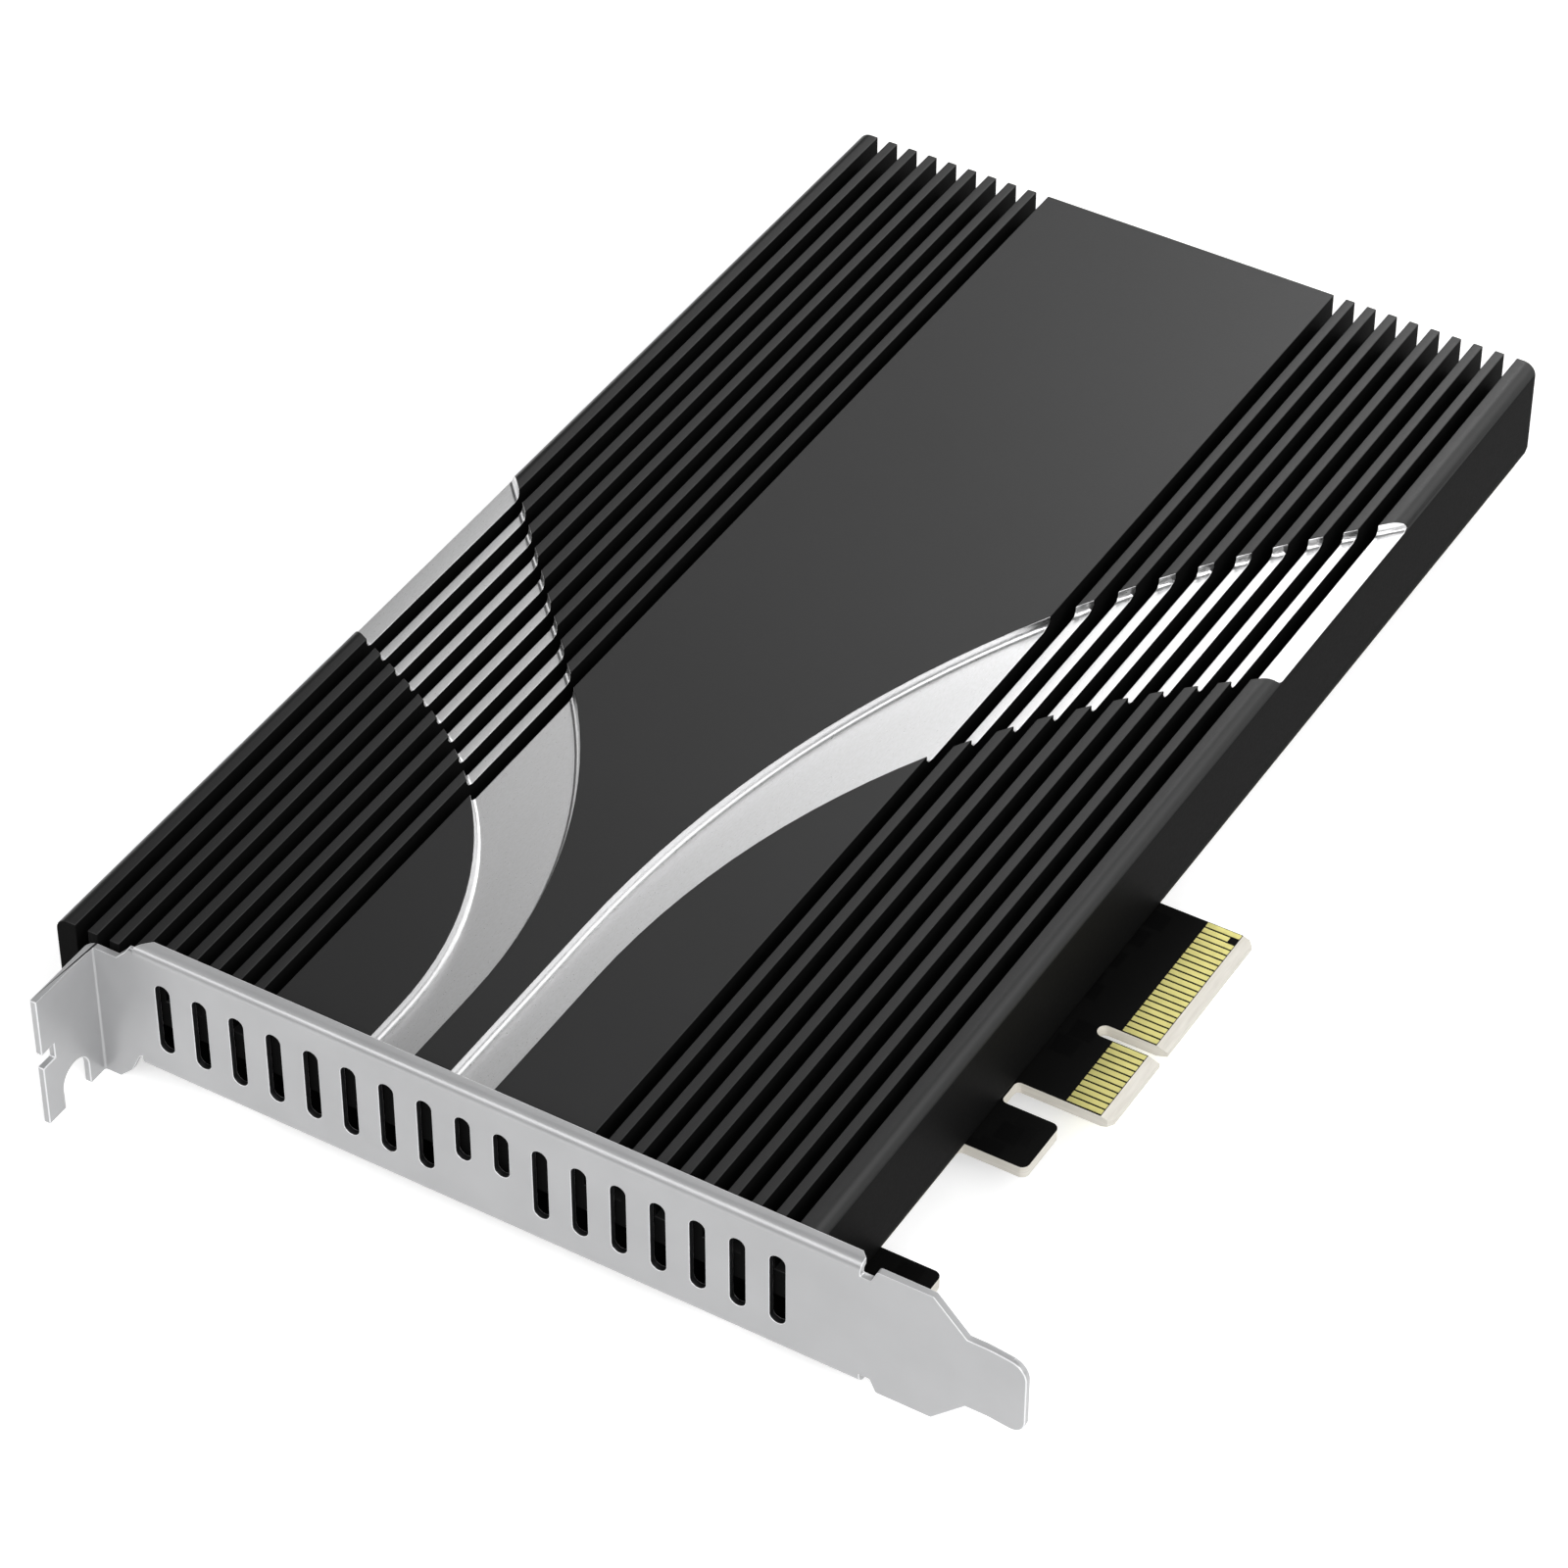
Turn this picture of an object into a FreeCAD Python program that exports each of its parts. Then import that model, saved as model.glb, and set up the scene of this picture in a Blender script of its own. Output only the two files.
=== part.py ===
import FreeCAD, Part
import math
import os
import Sketcher

# A full-height storage adapter card, in millimetres.
# X runs along the card from the bracket's outer face, Y from the card edge contacts to the
# bracket's screw flange, and Z from the board's component side towards the heatsink's fins.

SIZES = (
    # How far a cut reaches past what it cuts
    ("overrun", 1.0),
    ("blank_margin", 3.0),
    # The board and its edge
    ("board_thickness", 1.57),
    ("board_front", 1.35),
    ("board_inset", 1.02),
    ("board_notch_round", 0.65),
    ("tab_edge", -7.6),
    ("tab_round", 0.95),
    ("front_tab_end", 16.65),
    ("hook_tab_start", 34.9),
    ("hook_tab_end", 42.83),
    ("tongue_start", 46.45),
    ("tongue_end", 80.55),
    ("tongue_edge", -12.15),
    ("tongue_notch_root", -0.05),
    ("tongue_corner", 0.6),
    ("tongue_bevel_run", 1.45),
    ("tongue_bevel_drop", 0.5),
    ("key_centre", 58.55),
    ("key_width", 1.9),
    ("key_root", -3.75),
    ("key_round", 0.93),
    # The gold contacts of the edge
    ("contact_spacing", 1.0),
    ("contact_width", 0.75),
    ("contact_thickness", 0.05),
    ("contact_inner", -6.25),
    ("contact_outer", -10.62),
    ("short_contact_outer", -9.6),
    ("key_to_contact", 1.5),
    ("contacts_before_key_count", 11),
    ("contacts_after_key_count", 21),
    # The heatsink
    ("sink_front", 1.2),
    ("sink_length", 177.0),
    ("sink_width", 98.15),
    ("sink_centre", 48.86),
    ("sink_top", 14.2),
    ("sink_wall", 2.75),
    ("sink_edge_round", 1.75),
    ("sink_foot_bevel", 0.3),
    ("sink_foot_rise", 1.2),
    ("sink_base_bottom", 4.45),
    ("groove_floor", 8.3),
    ("groove_width", 1.695),
    ("groove_spacing", 2.985),
    ("groove_count", 9),
    ("centre_plate", 41.5),
    ("post_diameter", 5.6),
    ("post_inset", 8.0),
    ("post_front_inset", 22.8),
    ("post_end_inset", 10.2),
    ("post_overlap", 0.5),
    ("bore_spare", 1.0),
    # The two curved channels across the fins: near and far edge of each
    ("channel_depth", 1.4),
    ("channel_foot", 0.7),
    ("channel_overrun", 5.0),
    ("left_near_y", 51.35),
    ("left_near_bend", 14.9),
    ("left_near_radius", 75.35),
    ("left_near_angle", 42.9),
    ("left_far_y", 57.0),
    ("left_far_bend", 8.9),
    ("left_far_radius", 50.4),
    ("left_far_angle", 64.8),
    ("right_near_y", 46.53),
    ("right_near_bend", 30.3),
    ("right_near_radius", 156.5),
    ("right_near_angle", 41.6),
    ("right_far_y", 41.0),
    ("right_far_bend", 23.9),
    ("right_far_radius", 107.1),
    ("right_far_angle", 65.2),
    # The bracket, one folded sheet
    ("sheet", 0.86),
    ("bracket_width", 18.42),
    ("lip_reach", 2.1),
    ("lip_round", 1.3),
    ("lip_flange_end", 86.5),
    ("lip_tab_end", -6.9),
    ("lip_trim_run", 1.65),
    ("lip_trim_tab_run", 0.8),
    ("fold_clearance", 0.3),
    ("relief_end", -8.95),
    ("relief_foot", -8.2),
    ("relief_depth", 1.7),
    ("relief_round", 0.35),
    ("shoulder", -15.75),
    ("tab_root", -19.8),
    ("tab_tip", -27.15),
    ("tab_width", 10.2),
    ("tab_centre", 6.66),
    ("tab_corner", 2.0),
    ("tab_bend", -22.3),
    ("tab_bend_angle", 5.6),
    ("flange_face", 92.05),
    ("flange_reach", 10.45),
    ("flange_low", -5.5),
    ("flange_high", 13.3),
    ("flange_round", 0.3),
    ("neck_shelf", 1.25),
    ("neck_knee", 0.65),
    ("high_neck_start", 1.05),
    ("high_neck_end", 2.4),
    ("low_neck_start", 0.5),
    ("low_neck_middle", 1.7),
    ("low_neck_end", 3.4),
    ("neck_drop", 1.4),
    ("neck_round", 0.8),
    ("flange_notch_low", 3.1),
    ("flange_notch_high", 5.2),
    ("flange_notch_depth", 2.2),
    ("screw_slot_reach", 5.07),
    ("screw_slot_width", 4.7),
    ("screw_slot_centre", -2.6),
    ("vents_low_count", 7),
    ("vents_short_count", 2),
    ("vents_high_count", 8),
    ("vent_spacing", 4.973),
    ("vent_first", 3.17),
    ("vent_width", 2.0),
    ("vent_low", 1.62),
    ("vent_high", 11.82),
    ("vent_short_low", 5.42),
    ("ear_reach", 10.4),
    ("ear_width", 9.0),
    ("ear_round", 2.0),
    ("ear_hole_reach", 6.4),
    ("ear_low_y", 11.9),
    ("ear_high_y", 76.0),
    # The screws from the solder side
    ("screw_diameter", 2.5),
    ("screw_head", 4.7),
    ("screw_head_height", 1.5),
    ("screw_head_bevel", 0.5),
    ("screw_grip", 5.0),
    ("screw_play", 0.25),
    ("recess_width", 0.55),
    ("recess_span", 2.5),
    ("recess_depth", 0.9),
    # The drive socket and what holds the drive
    ("socket_front", 33.0),
    ("socket_depth", 8.7),
    ("socket_width", 21.9),
    ("socket_height", 3.2),
    ("slot_width", 20.05),
    ("slot_low", 1.35),
    ("slot_high", 2.45),
    ("slot_depth", 4.2),
    ("shelf_depth", 1.47),
    ("key_rib_offset", 5.0),
    ("key_rib_width", 1.1),
    ("peg_diameter", 1.1),
    ("peg_spacing", 18.0),
    ("peg_length", 1.1),
    ("foot_spacing", 0.5),
    ("foot_width", 0.22),
    ("foot_length", 1.1),
    ("foot_thickness", 0.2),
    ("rear_feet_half_span", 9.25),
    ("mouth_feet_half_span", 9.0),
    ("rear_feet_below_key_count", 6),
    ("mouth_feet_below_key_count", 5),
    ("feet_above_key_count", 28),
    ("feet_in_key_count", 4),
    ("anchor_thickness", 0.3),
    ("anchor_length", 2.2),
    ("anchor_height", 1.8),
    ("anchor_foot", 1.2),
    ("standoff_height", 1.5),
    ("standoff_diameter", 4.4),
    ("standoff_pilot", 3.0),
    ("pilot_length", 1.25),
    ("short_drive", 80.0),
    ("long_drive", 110.0),
    ("drive_insertion", 4.0),
    ("drive_screw_diameter", 1.9),
    ("drive_screw_head", 3.8),
    ("drive_screw_head_height", 0.7),
    ("drive_screw_bevel", 0.35),
    ("drive_recess_width", 0.475),
    ("drive_recess_span", 1.9),
    ("drive_recess_depth", 0.35),
    ("pad_thickness", 0.6),
    ("pad_length", 70.0),
    ("pad_width", 20.0),
    ("pad_setback", 4.0),
    # The parts soldered to the board
    ("choke_size", 7.0),
    ("choke_height", 3.0),
    ("choke_x", 104.0),
    ("choke_y", 18.0),
    ("converter_x", 93.5),
    ("converter_length", 6.0),
    ("converter_width", 5.0),
    ("converter_height", 0.9),
    ("tank_length", 7.3),
    ("tank_width", 4.3),
    ("tank_height", 2.8),
    ("tank_spacing", 6.0),
    ("chip_length", 2.0),
    ("chip_width", 1.25),
    ("chip_height", 0.9),
    ("small_length", 1.0),
    ("small_width", 0.5),
    ("small_height", 0.5),
    ("buffer_size", 4.0),
    ("buffer_height", 0.85),
    ("light_length", 1.6),
    ("light_width", 0.8),
    ("light_height", 0.6),
    ("light_setback", 1.6),
    ("light_offset", 8.0),
    ("lane_setback", 8.0),
    ("strap_setback", 6.0),
    ("buffer_setback", 12.0),
    ("under_setback", 6.0),
    ("deep_bevel", 0.5),
    ("tank_bevel", 0.3),
    ("chip_bevel", 0.1),
    ("small_bevel", 0.06),
)


class Size:
    """A number with the sheet formula that gives it, so that a feature can be bound to it."""

    def __init__(self, number, formula=None):
        self.number = float(number)
        self.formula = formula or "(%s)" % repr(self.number)

    def __add__(self, other):
        other = as_size(other)
        return Size(self.number + other.number, "(%s + %s)" % (self.formula, other.formula))

    def __sub__(self, other):
        other = as_size(other)
        return Size(self.number - other.number, "(%s - %s)" % (self.formula, other.formula))

    def __mul__(self, other):
        other = as_size(other)
        return Size(self.number * other.number, "(%s * %s)" % (self.formula, other.formula))

    def __truediv__(self, other):
        other = as_size(other)
        return Size(self.number / other.number, "(%s / %s)" % (self.formula, other.formula))

    def __radd__(self, other):
        return as_size(other) + self

    def __rsub__(self, other):
        return as_size(other) - self

    def __rmul__(self, other):
        return as_size(other) * self

    def __neg__(self):
        return Size(-self.number, "(-%s)" % self.formula)


def as_size(value):
    return value if isinstance(value, Size) else Size(value)


def tangent(angle):
    """Tangent of an angle in degrees."""
    return Size(math.tan(math.radians(angle.number)), "tan(%s * 1 deg)" % angle.formula)


def sine(angle):
    """Sine of an angle in degrees."""
    return Size(math.sin(math.radians(angle.number)), "sin(%s * 1 deg)" % angle.formula)


def cosine(angle):
    """Cosine of an angle in degrees."""
    return Size(math.cos(math.radians(angle.number)), "cos(%s * 1 deg)" % angle.formula)


doc = FreeCAD.newDocument("storage_adapter_card")
sheet = doc.addObject("Spreadsheet::Sheet", "Sizes")
size = {}
for row, (alias, number) in enumerate(SIZES, start=1):
    sheet.set("A%d" % row, alias)
    sheet.set("B%d" % row, str(number))
    sheet.setAlias("B%d" % row, alias)
    size[alias] = Size(number, "Sizes." + alias)
doc.recompute()

# What the finished card is made of: one document object for each separate piece
PIECES = []


def bind(feature, prop, length):
    """Set a property from the sheet."""
    feature.setExpression(prop, as_size(length).formula)


def new_body(name, several=False):
    """Start a sub-part. A group of like pieces is one body of several separate solids."""
    body = doc.addObject("PartDesign::Body", name)
    body.Label = name
    body.AllowCompound = several
    return body


def origin_feature(body, role):
    for feature in body.Origin.OriginFeatures:
        if feature.Role == role:
            return feature
    raise ValueError("no origin feature " + role)


def new_sketch(body, name, plane, lift=0):
    """Sketch on one of the body's origin planes, lifted along the plane's normal."""
    sketch = body.newObject("Sketcher::SketchObject", name)
    sketch.AttachmentSupport = [(origin_feature(body, plane), "")]
    sketch.MapMode = "FlatFace"
    bind(sketch, "AttachmentOffset.Base.z", lift)
    return sketch


def pin(sketch, *places):
    """Hold points of the sketch, each given as (element, point, x, y), at x, y from its origin."""
    rules = []
    lengths = []
    for element, point, x, y in places:
        for kind, length in (("DistanceX", as_size(x)), ("DistanceY", as_size(y))):
            rules.append(Sketcher.Constraint(kind, -1, 1, element, point, length.number))
            lengths.append(length)
    first = sketch.ConstraintCount
    sketch.addConstraint(rules)
    for index, length in enumerate(lengths, start=first):
        bind(sketch, "Constraints[%d]" % index, length)


def set_radius(sketch, element, radius):
    radius = as_size(radius)
    index = sketch.addConstraint(Sketcher.Constraint("Radius", element, radius.number))
    bind(sketch, "Constraints[%d]" % index, radius)


def flat_sided(sketch, x, y, diameter, sides):
    """Ring of flat sides, for small round things."""
    radius = as_size(diameter) / 2
    corners = []
    for i in range(sides):
        angle = as_size((i + 0.5) * 360 / sides)
        corners.append((x + radius * cosine(angle), y + radius * sine(angle)))
    outline(sketch, corners)


def rings(body, name, places, level, diameter, sides):
    """Sketch of flat-sided rings of one size, at a height."""
    sketch = new_sketch(body, name, "XY_Plane", level)
    for x, y in places:
        flat_sided(sketch, x, y, diameter, sides)
    return sketch


def cross_recess(sketch, x, y, arm, half):
    """Outline of a cross-shaped driver recess with arms of that reach and half width."""
    outline(sketch, [
        (x - arm, y - half), (x - half, y - half), (x - half, y - arm), (x + half, y - arm),
        (x + half, y - half), (x + arm, y - half), (x + arm, y + half), (x + half, y + half),
        (x + half, y + arm), (x - half, y + arm), (x - half, y + half), (x - arm, y + half),
    ])


def rounded_corner(before, here, after, radius):
    """Arc that rounds a corner, with its two ends: (first, last, arc, turns left)."""
    into = (here - before).normalize()
    out = (after - here).normalize()
    turn = into.getAngle(out)
    setback = radius * math.tan(turn / 2)
    first = here - into * setback
    last = here + out * setback
    left = into.cross(out).z > 0
    side = FreeCAD.Vector(-into.y, into.x, 0) * (1 if left else -1)
    centre = first + side * radius
    start, end = (first, last) if left else (last, first)
    start_angle = math.atan2(start.y - centre.y, start.x - centre.x)
    end_angle = math.atan2(end.y - centre.y, end.x - centre.x)
    ring = Part.Circle(centre, FreeCAD.Vector(0, 0, 1), radius)
    return first, last, Part.ArcOfCircle(ring, start_angle, end_angle), left


def outline(sketch, corners):
    """Closed outline through corners (x, y), or (x, y, radius) where a corner is rounded."""
    places = [FreeCAD.Vector(as_size(c[0]).number, as_size(c[1]).number, 0) for c in corners]
    count = len(corners)
    arrive = list(places)
    leave = list(places)
    arcs = {}
    for i, corner in enumerate(corners):
        if len(corner) == 3:
            radius = as_size(corner[2]).number
            before, after = places[i - 1], places[(i + 1) % count]
            arrive[i], leave[i], arc, left = rounded_corner(before, places[i], after, radius)
            arcs[i] = (arc, left)
    lines = []
    for i in range(count):
        lines.append(sketch.addGeometry(Part.LineSegment(leave[i], arrive[(i + 1) % count])))
    joins = []
    pins = []
    for i, corner in enumerate(corners):
        line_in, line_out = lines[i - 1], lines[i]
        if i not in arcs:
            joins.append(Sketcher.Constraint("Coincident", line_in, 2, line_out, 1))
            pins.append((line_out, 1, corner[0], corner[1]))
            continue
        arc, left = arcs[i]
        bend = sketch.addGeometry(arc)
        start, end = (1, 2) if left else (2, 1)
        apex = sketch.addGeometry(Part.Point(places[i]), True)
        joins.append(Sketcher.Constraint("Tangent", line_in, 2, bend, start))
        joins.append(Sketcher.Constraint("Tangent", bend, end, line_out, 1))
        joins.append(Sketcher.Constraint("PointOnObject", apex, 1, line_in))
        joins.append(Sketcher.Constraint("PointOnObject", apex, 1, line_out))
        pins.append((apex, 1, corner[0], corner[1]))
        arcs[i] = (bend, corner[2])
    sketch.addConstraint(joins)
    pin(sketch, *pins)
    for bend, radius in arcs.values():
        set_radius(sketch, bend, radius)


def rectangle(sketch, x_low, x_high, y_low, y_high):
    outline(sketch, [(x_low, y_low), (x_high, y_low), (x_high, y_high), (x_low, y_high)])


def centred_rectangle(sketch, x, y, length, width):
    length, width = as_size(length), as_size(width)
    rectangle(sketch, x - length / 2, x + length / 2, y - width / 2, y + width / 2)


def round_slot(sketch, centre, low, high, width):
    """Upright slot with round ends."""
    radius = as_size(width) / 2
    x, r = as_size(centre).number, radius.number
    bottom, top = as_size(low) + radius, as_size(high) - radius
    normal = FreeCAD.Vector(0, 0, 1)
    lower_centre = FreeCAD.Vector(x, bottom.number, 0)
    upper_centre = FreeCAD.Vector(x, top.number, 0)
    lower = sketch.addGeometry(Part.ArcOfCircle(Part.Circle(lower_centre, normal, r), math.pi, 2 * math.pi))
    upper = sketch.addGeometry(Part.ArcOfCircle(Part.Circle(upper_centre, normal, r), 0, math.pi))
    across = FreeCAD.Vector(r, 0, 0)
    right = sketch.addGeometry(Part.LineSegment(lower_centre + across, upper_centre + across))
    left = sketch.addGeometry(Part.LineSegment(upper_centre - across, lower_centre - across))
    joins = [Sketcher.Constraint("Equal", lower, upper)]
    for first, second in ((lower, right), (right, upper), (upper, left), (left, lower)):
        joins.append(Sketcher.Constraint("Tangent", first, 2, second, 1))
    sketch.addConstraint(joins)
    pin(sketch, (lower, 3, centre, bottom), (upper, 3, centre, top))
    set_radius(sketch, lower, radius)


def add_feature(body, kind, name):
    feature = body.newObject("PartDesign::" + kind, name)
    body.Tip = feature
    return feature


def pad(body, sketch, length, flipped=False):
    feature = add_feature(body, "Pad", sketch.Name + "_pad")
    feature.Profile = sketch
    feature.Reversed = flipped
    bind(feature, "Length", length)
    return feature


def pocket(body, sketch, length, flipped=False):
    feature = add_feature(body, "Pocket", sketch.Name + "_cut")
    feature.Profile = sketch
    feature.Reversed = flipped
    bind(feature, "Length", length)
    return feature


def repeat(body, original, axis, length, count, flipped=False):
    """Row of copies of a feature, length being from the first copy to the last."""
    feature = add_feature(body, "LinearPattern", original.Name + "_row")
    feature.Originals = [original]
    feature.Direction = (origin_feature(body, axis), [""])
    feature.Reversed = flipped
    bind(feature, "Length", length)
    bind(feature, "Occurrences", count)
    return feature


def edges_where(shape, test):
    """Names of the edges whose whole box passes the test."""
    return ["Edge%d" % i for i, edge in enumerate(shape.Edges, start=1) if test(edge.BoundBox)]


def soften(body, kind, name, test, length):
    """Fillet or chamfer the edges of the body that pass the test."""
    doc.recompute()
    base = body.Tip
    names = edges_where(base.Shape, test)
    if not names:
        raise ValueError("no edge to soften for " + name)
    feature = add_feature(body, kind, name)
    feature.Base = (base, names)
    bind(feature, "Radius" if kind == "Fillet" else "Size", length)
    return feature


def near(first, second):
    return abs(first - as_size(second).number) < 0.001


def finish(piece):
    PIECES.append(piece)
    return piece


# Sides of the round things that are drawn with flats
HEAD_SIDES = 16
SHANK_SIDES = 12

# How many of each small part are soldered on
INPUT_TANKS = 2
OUTPUT_TANKS = 3
COUPLED_LINES = 8
STRAPS = 7
SOLDER_SIDE_PARTS = 8

# Lean of the two flats that stand for a quarter round, in degrees from the wall
UPPER_LEAN = -22.5
LOWER_LEAN = -67.5

# Places shared by several pieces
board_bottom = -size["board_thickness"]
sink_end = size["sink_front"] + size["sink_length"]
half_sink = size["sink_width"] / 2
sink_low = size["sink_centre"] - half_sink
sink_high = size["sink_centre"] + half_sink
channel_floor = size["sink_top"] - size["channel_depth"]
bracket_low = board_bottom - size["sheet"]
bracket_high = bracket_low + size["bracket_width"]
board_low_edge = sink_low + size["board_inset"]
board_high_edge = sink_high - size["board_inset"]
board_end = sink_end - size["board_inset"]
post_first_x = size["sink_front"] + size["post_front_inset"]
post_run = sink_end - size["post_end_inset"] - post_first_x
post_low_y = sink_low + size["post_inset"]
post_high_y = sink_high - size["post_inset"]
socket_mouth = size["socket_front"] + size["socket_depth"]
socket_middle = size["socket_front"] + size["socket_depth"] / 2
drive_start = socket_mouth - size["drive_insertion"]
socket_low_y = size["sink_centre"] - size["socket_width"] / 2
socket_high_y = size["sink_centre"] + size["socket_width"] / 2


# The heatsink posts that take a screw from the solder side: the first of each row, and how far
# the rows run along the card
POST_ROWS = [(post_first_x, post_low_y), (post_first_x, post_high_y)]
POST_COLUMNS = 3

# The two posts behind the bracket's ears
EARS = [(size["ear_hole_reach"], size["ear_low_y"]), (size["ear_hole_reach"], size["ear_high_y"])]


def along_rows(body, feature):
    """The first pair of posts, holes or screws, repeated along the card."""
    repeat(body, feature, "X_Axis", post_run, POST_COLUMNS)


def build_board():
    body = new_body("circuit_board")
    sketch = new_sketch(body, "board_outline", "XY_Plane", board_bottom)
    low, high = board_low_edge, board_high_edge
    tab, tab_round = size["tab_edge"], size["tab_round"]
    tongue, corner = size["tongue_edge"], size["tongue_corner"]
    key_left = size["key_centre"] - size["key_width"] / 2
    key_right = size["key_centre"] + size["key_width"] / 2
    key_round = size["key_round"]
    notch_round = size["board_notch_round"]
    outline(sketch, [
        (size["board_front"], high),
        (size["board_front"], tab),
        (size["front_tab_end"], tab, tab_round),
        (size["front_tab_end"], low, notch_round),
        (size["hook_tab_start"], low, notch_round),
        (size["hook_tab_start"], tab, tab_round),
        (size["hook_tab_end"], tab, tab_round),
        (size["hook_tab_end"], size["tongue_notch_root"], notch_round),
        (size["tongue_start"], size["tongue_notch_root"], notch_round),
        (size["tongue_start"], tongue + corner),
        (size["tongue_start"] + corner, tongue),
        (key_left, tongue),
        (key_left, size["key_root"], key_round),
        (key_right, size["key_root"], key_round),
        (key_right, tongue),
        (size["tongue_end"] - corner, tongue),
        (size["tongue_end"], tongue + corner),
        (size["tongue_end"], low, notch_round),
        (board_end, low),
        (board_end, high),
    ])
    pad(body, sketch, size["board_thickness"])

    # The tongue is bevelled on both sides so that it slides into its connector
    bevel = new_sketch(body, "tongue_bevel", "YZ_Plane", size["tongue_end"] + size["overrun"])
    beyond = size["overrun"]
    start = tongue + size["tongue_bevel_run"]
    drop = size["tongue_bevel_drop"]
    outline(bevel, [
        (start, 0), (start, beyond), (tongue - beyond, beyond), (tongue - beyond, -drop), (tongue, -drop),
    ])
    outline(bevel, [
        (start, board_bottom), (tongue, board_bottom + drop), (tongue - beyond, board_bottom + drop),
        (tongue - beyond, board_bottom - beyond), (start, board_bottom - beyond),
    ])
    pocket(body, bevel, size["tongue_end"] - size["tongue_start"] + beyond * 2)

    clearance = size["screw_diameter"] + size["screw_play"]
    rows = rings(body, "board_row_holes", POST_ROWS, 0, clearance, SHANK_SIDES)
    along_rows(body, pocket(body, rows, size["board_thickness"]))
    holes = rings(body, "board_holes", EARS, 0, clearance, SHANK_SIDES)
    for length in ("short_drive", "long_drive"):
        drive_end = drive_start + size[length]
        flat_sided(holes, drive_end, size["sink_centre"], size["standoff_pilot"], SHANK_SIDES)
    for side in (-1, 1):
        peg_y = size["sink_centre"] + size["peg_spacing"] / 2 * side
        flat_sided(holes, socket_middle, peg_y, size["peg_diameter"], SHANK_SIDES)
    pocket(body, holes, size["board_thickness"])
    return finish(body)


def contact_row(body, name, side, first, count, outer, flipped):
    """Row of that many gold contacts along the tongue, on the face at height side."""
    sketch = new_sketch(body, name, "XY_Plane", side)
    half = size["contact_width"] / 2
    rectangle(sketch, first - half, first + half, outer, size["contact_inner"])
    start = pad(body, sketch, size["contact_thickness"], flipped)
    if count.number > 1:
        repeat(body, start, "X_Axis", size["contact_spacing"] * (count - 1), count)


def build_contacts(name, side, flipped, short_at_end):
    """Contacts before and after the key, one of them short so that it is the last to touch."""
    body = new_body(name, several=True)
    before_key = size["key_centre"] - size["key_to_contact"]
    after_key = size["key_centre"] + size["key_to_contact"]
    full, short = size["contact_outer"], size["short_contact_outer"]
    step, one = size["contact_spacing"], as_size(1)
    before, after = size["contacts_before_key_count"], size["contacts_after_key_count"]
    first_place, last_place = before_key - step * (before - 1), after_key + step * (after - 1)
    if short_at_end:
        contact_row(body, name + "_short_group", side, first_place, before, full, flipped)
        contact_row(body, name + "_long_group", side, after_key, after - 2, full, flipped)
        contact_row(body, name + "_presence", side, last_place - step, one, short, flipped)
        contact_row(body, name + "_last", side, last_place, one, full, flipped)
    else:
        contact_row(body, name + "_presence", side, first_place, one, short, flipped)
        contact_row(body, name + "_short_group", side, first_place + step, before - 1, full, flipped)
        contact_row(body, name + "_long_group", side, after_key, after, full, flipped)
    return finish(body)


def channel_edge(y, bend, radius, turn, side, inset):
    """Corners of a channel edge: straight from the bracket, a round bend, straight out.

    The edge is moved by inset towards the centre of its bend."""
    start = size["sink_front"] - size["channel_overrun"]
    reach = size["sink_length"]
    y = y + inset * side
    radius = radius - inset
    knee = bend + radius * tangent(turn / 2)
    return [
        (start, y),
        (knee, y, radius),
        (knee + reach * cosine(turn), y + reach * sine(turn) * side),
    ]


def channel_tool(name, side, near_edge, far_edge):
    """The space that a cutter leaves along one channel, its rounded foot drawn as two flats."""
    body = new_body(name)
    foot = size["channel_foot"]
    shoulder = foot * (1 - math.sqrt(0.5))
    above = size["channel_depth"] + size["channel_overrun"] - foot
    for layer, inset, level, height, upwards, lean in (
        ("wall", as_size(0), channel_floor + foot, above, True, 0),
        ("upper_foot", as_size(0), channel_floor + foot, foot - shoulder, False, UPPER_LEAN),
        ("lower_foot", shoulder, channel_floor + shoulder, shoulder, False, LOWER_LEAN),
    ):
        sketch = new_sketch(body, "%s_%s" % (name, layer), "XY_Plane", level)
        near_corners = channel_edge(*near_edge, side, inset)
        far_corners = channel_edge(*far_edge, side, -inset)
        outline(sketch, near_corners + far_corners[::-1])
        space = pad(body, sketch, height, flipped=not upwards)
        space.TaperAngle = lean
    return body


def groove_row(body, side):
    """Row of grooves to one side of the centre plate."""
    name = "grooves_high" if side > 0 else "grooves_low"
    sketch = new_sketch(body, name, "YZ_Plane", sink_end + size["overrun"])
    inner = size["sink_centre"] + size["centre_plate"] / 2 * side
    outer = inner + size["groove_width"] * side
    low, high = (inner, outer) if side > 0 else (outer, inner)
    rectangle(sketch, low, high, size["groove_floor"], size["sink_top"] + size["overrun"])
    first = pocket(body, sketch, size["sink_length"] + size["overrun"] * 2)
    count = size["groove_count"]
    repeat(body, first, "Y_Axis", size["groove_spacing"] * (count - 1), count, flipped=side < 0)


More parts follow.
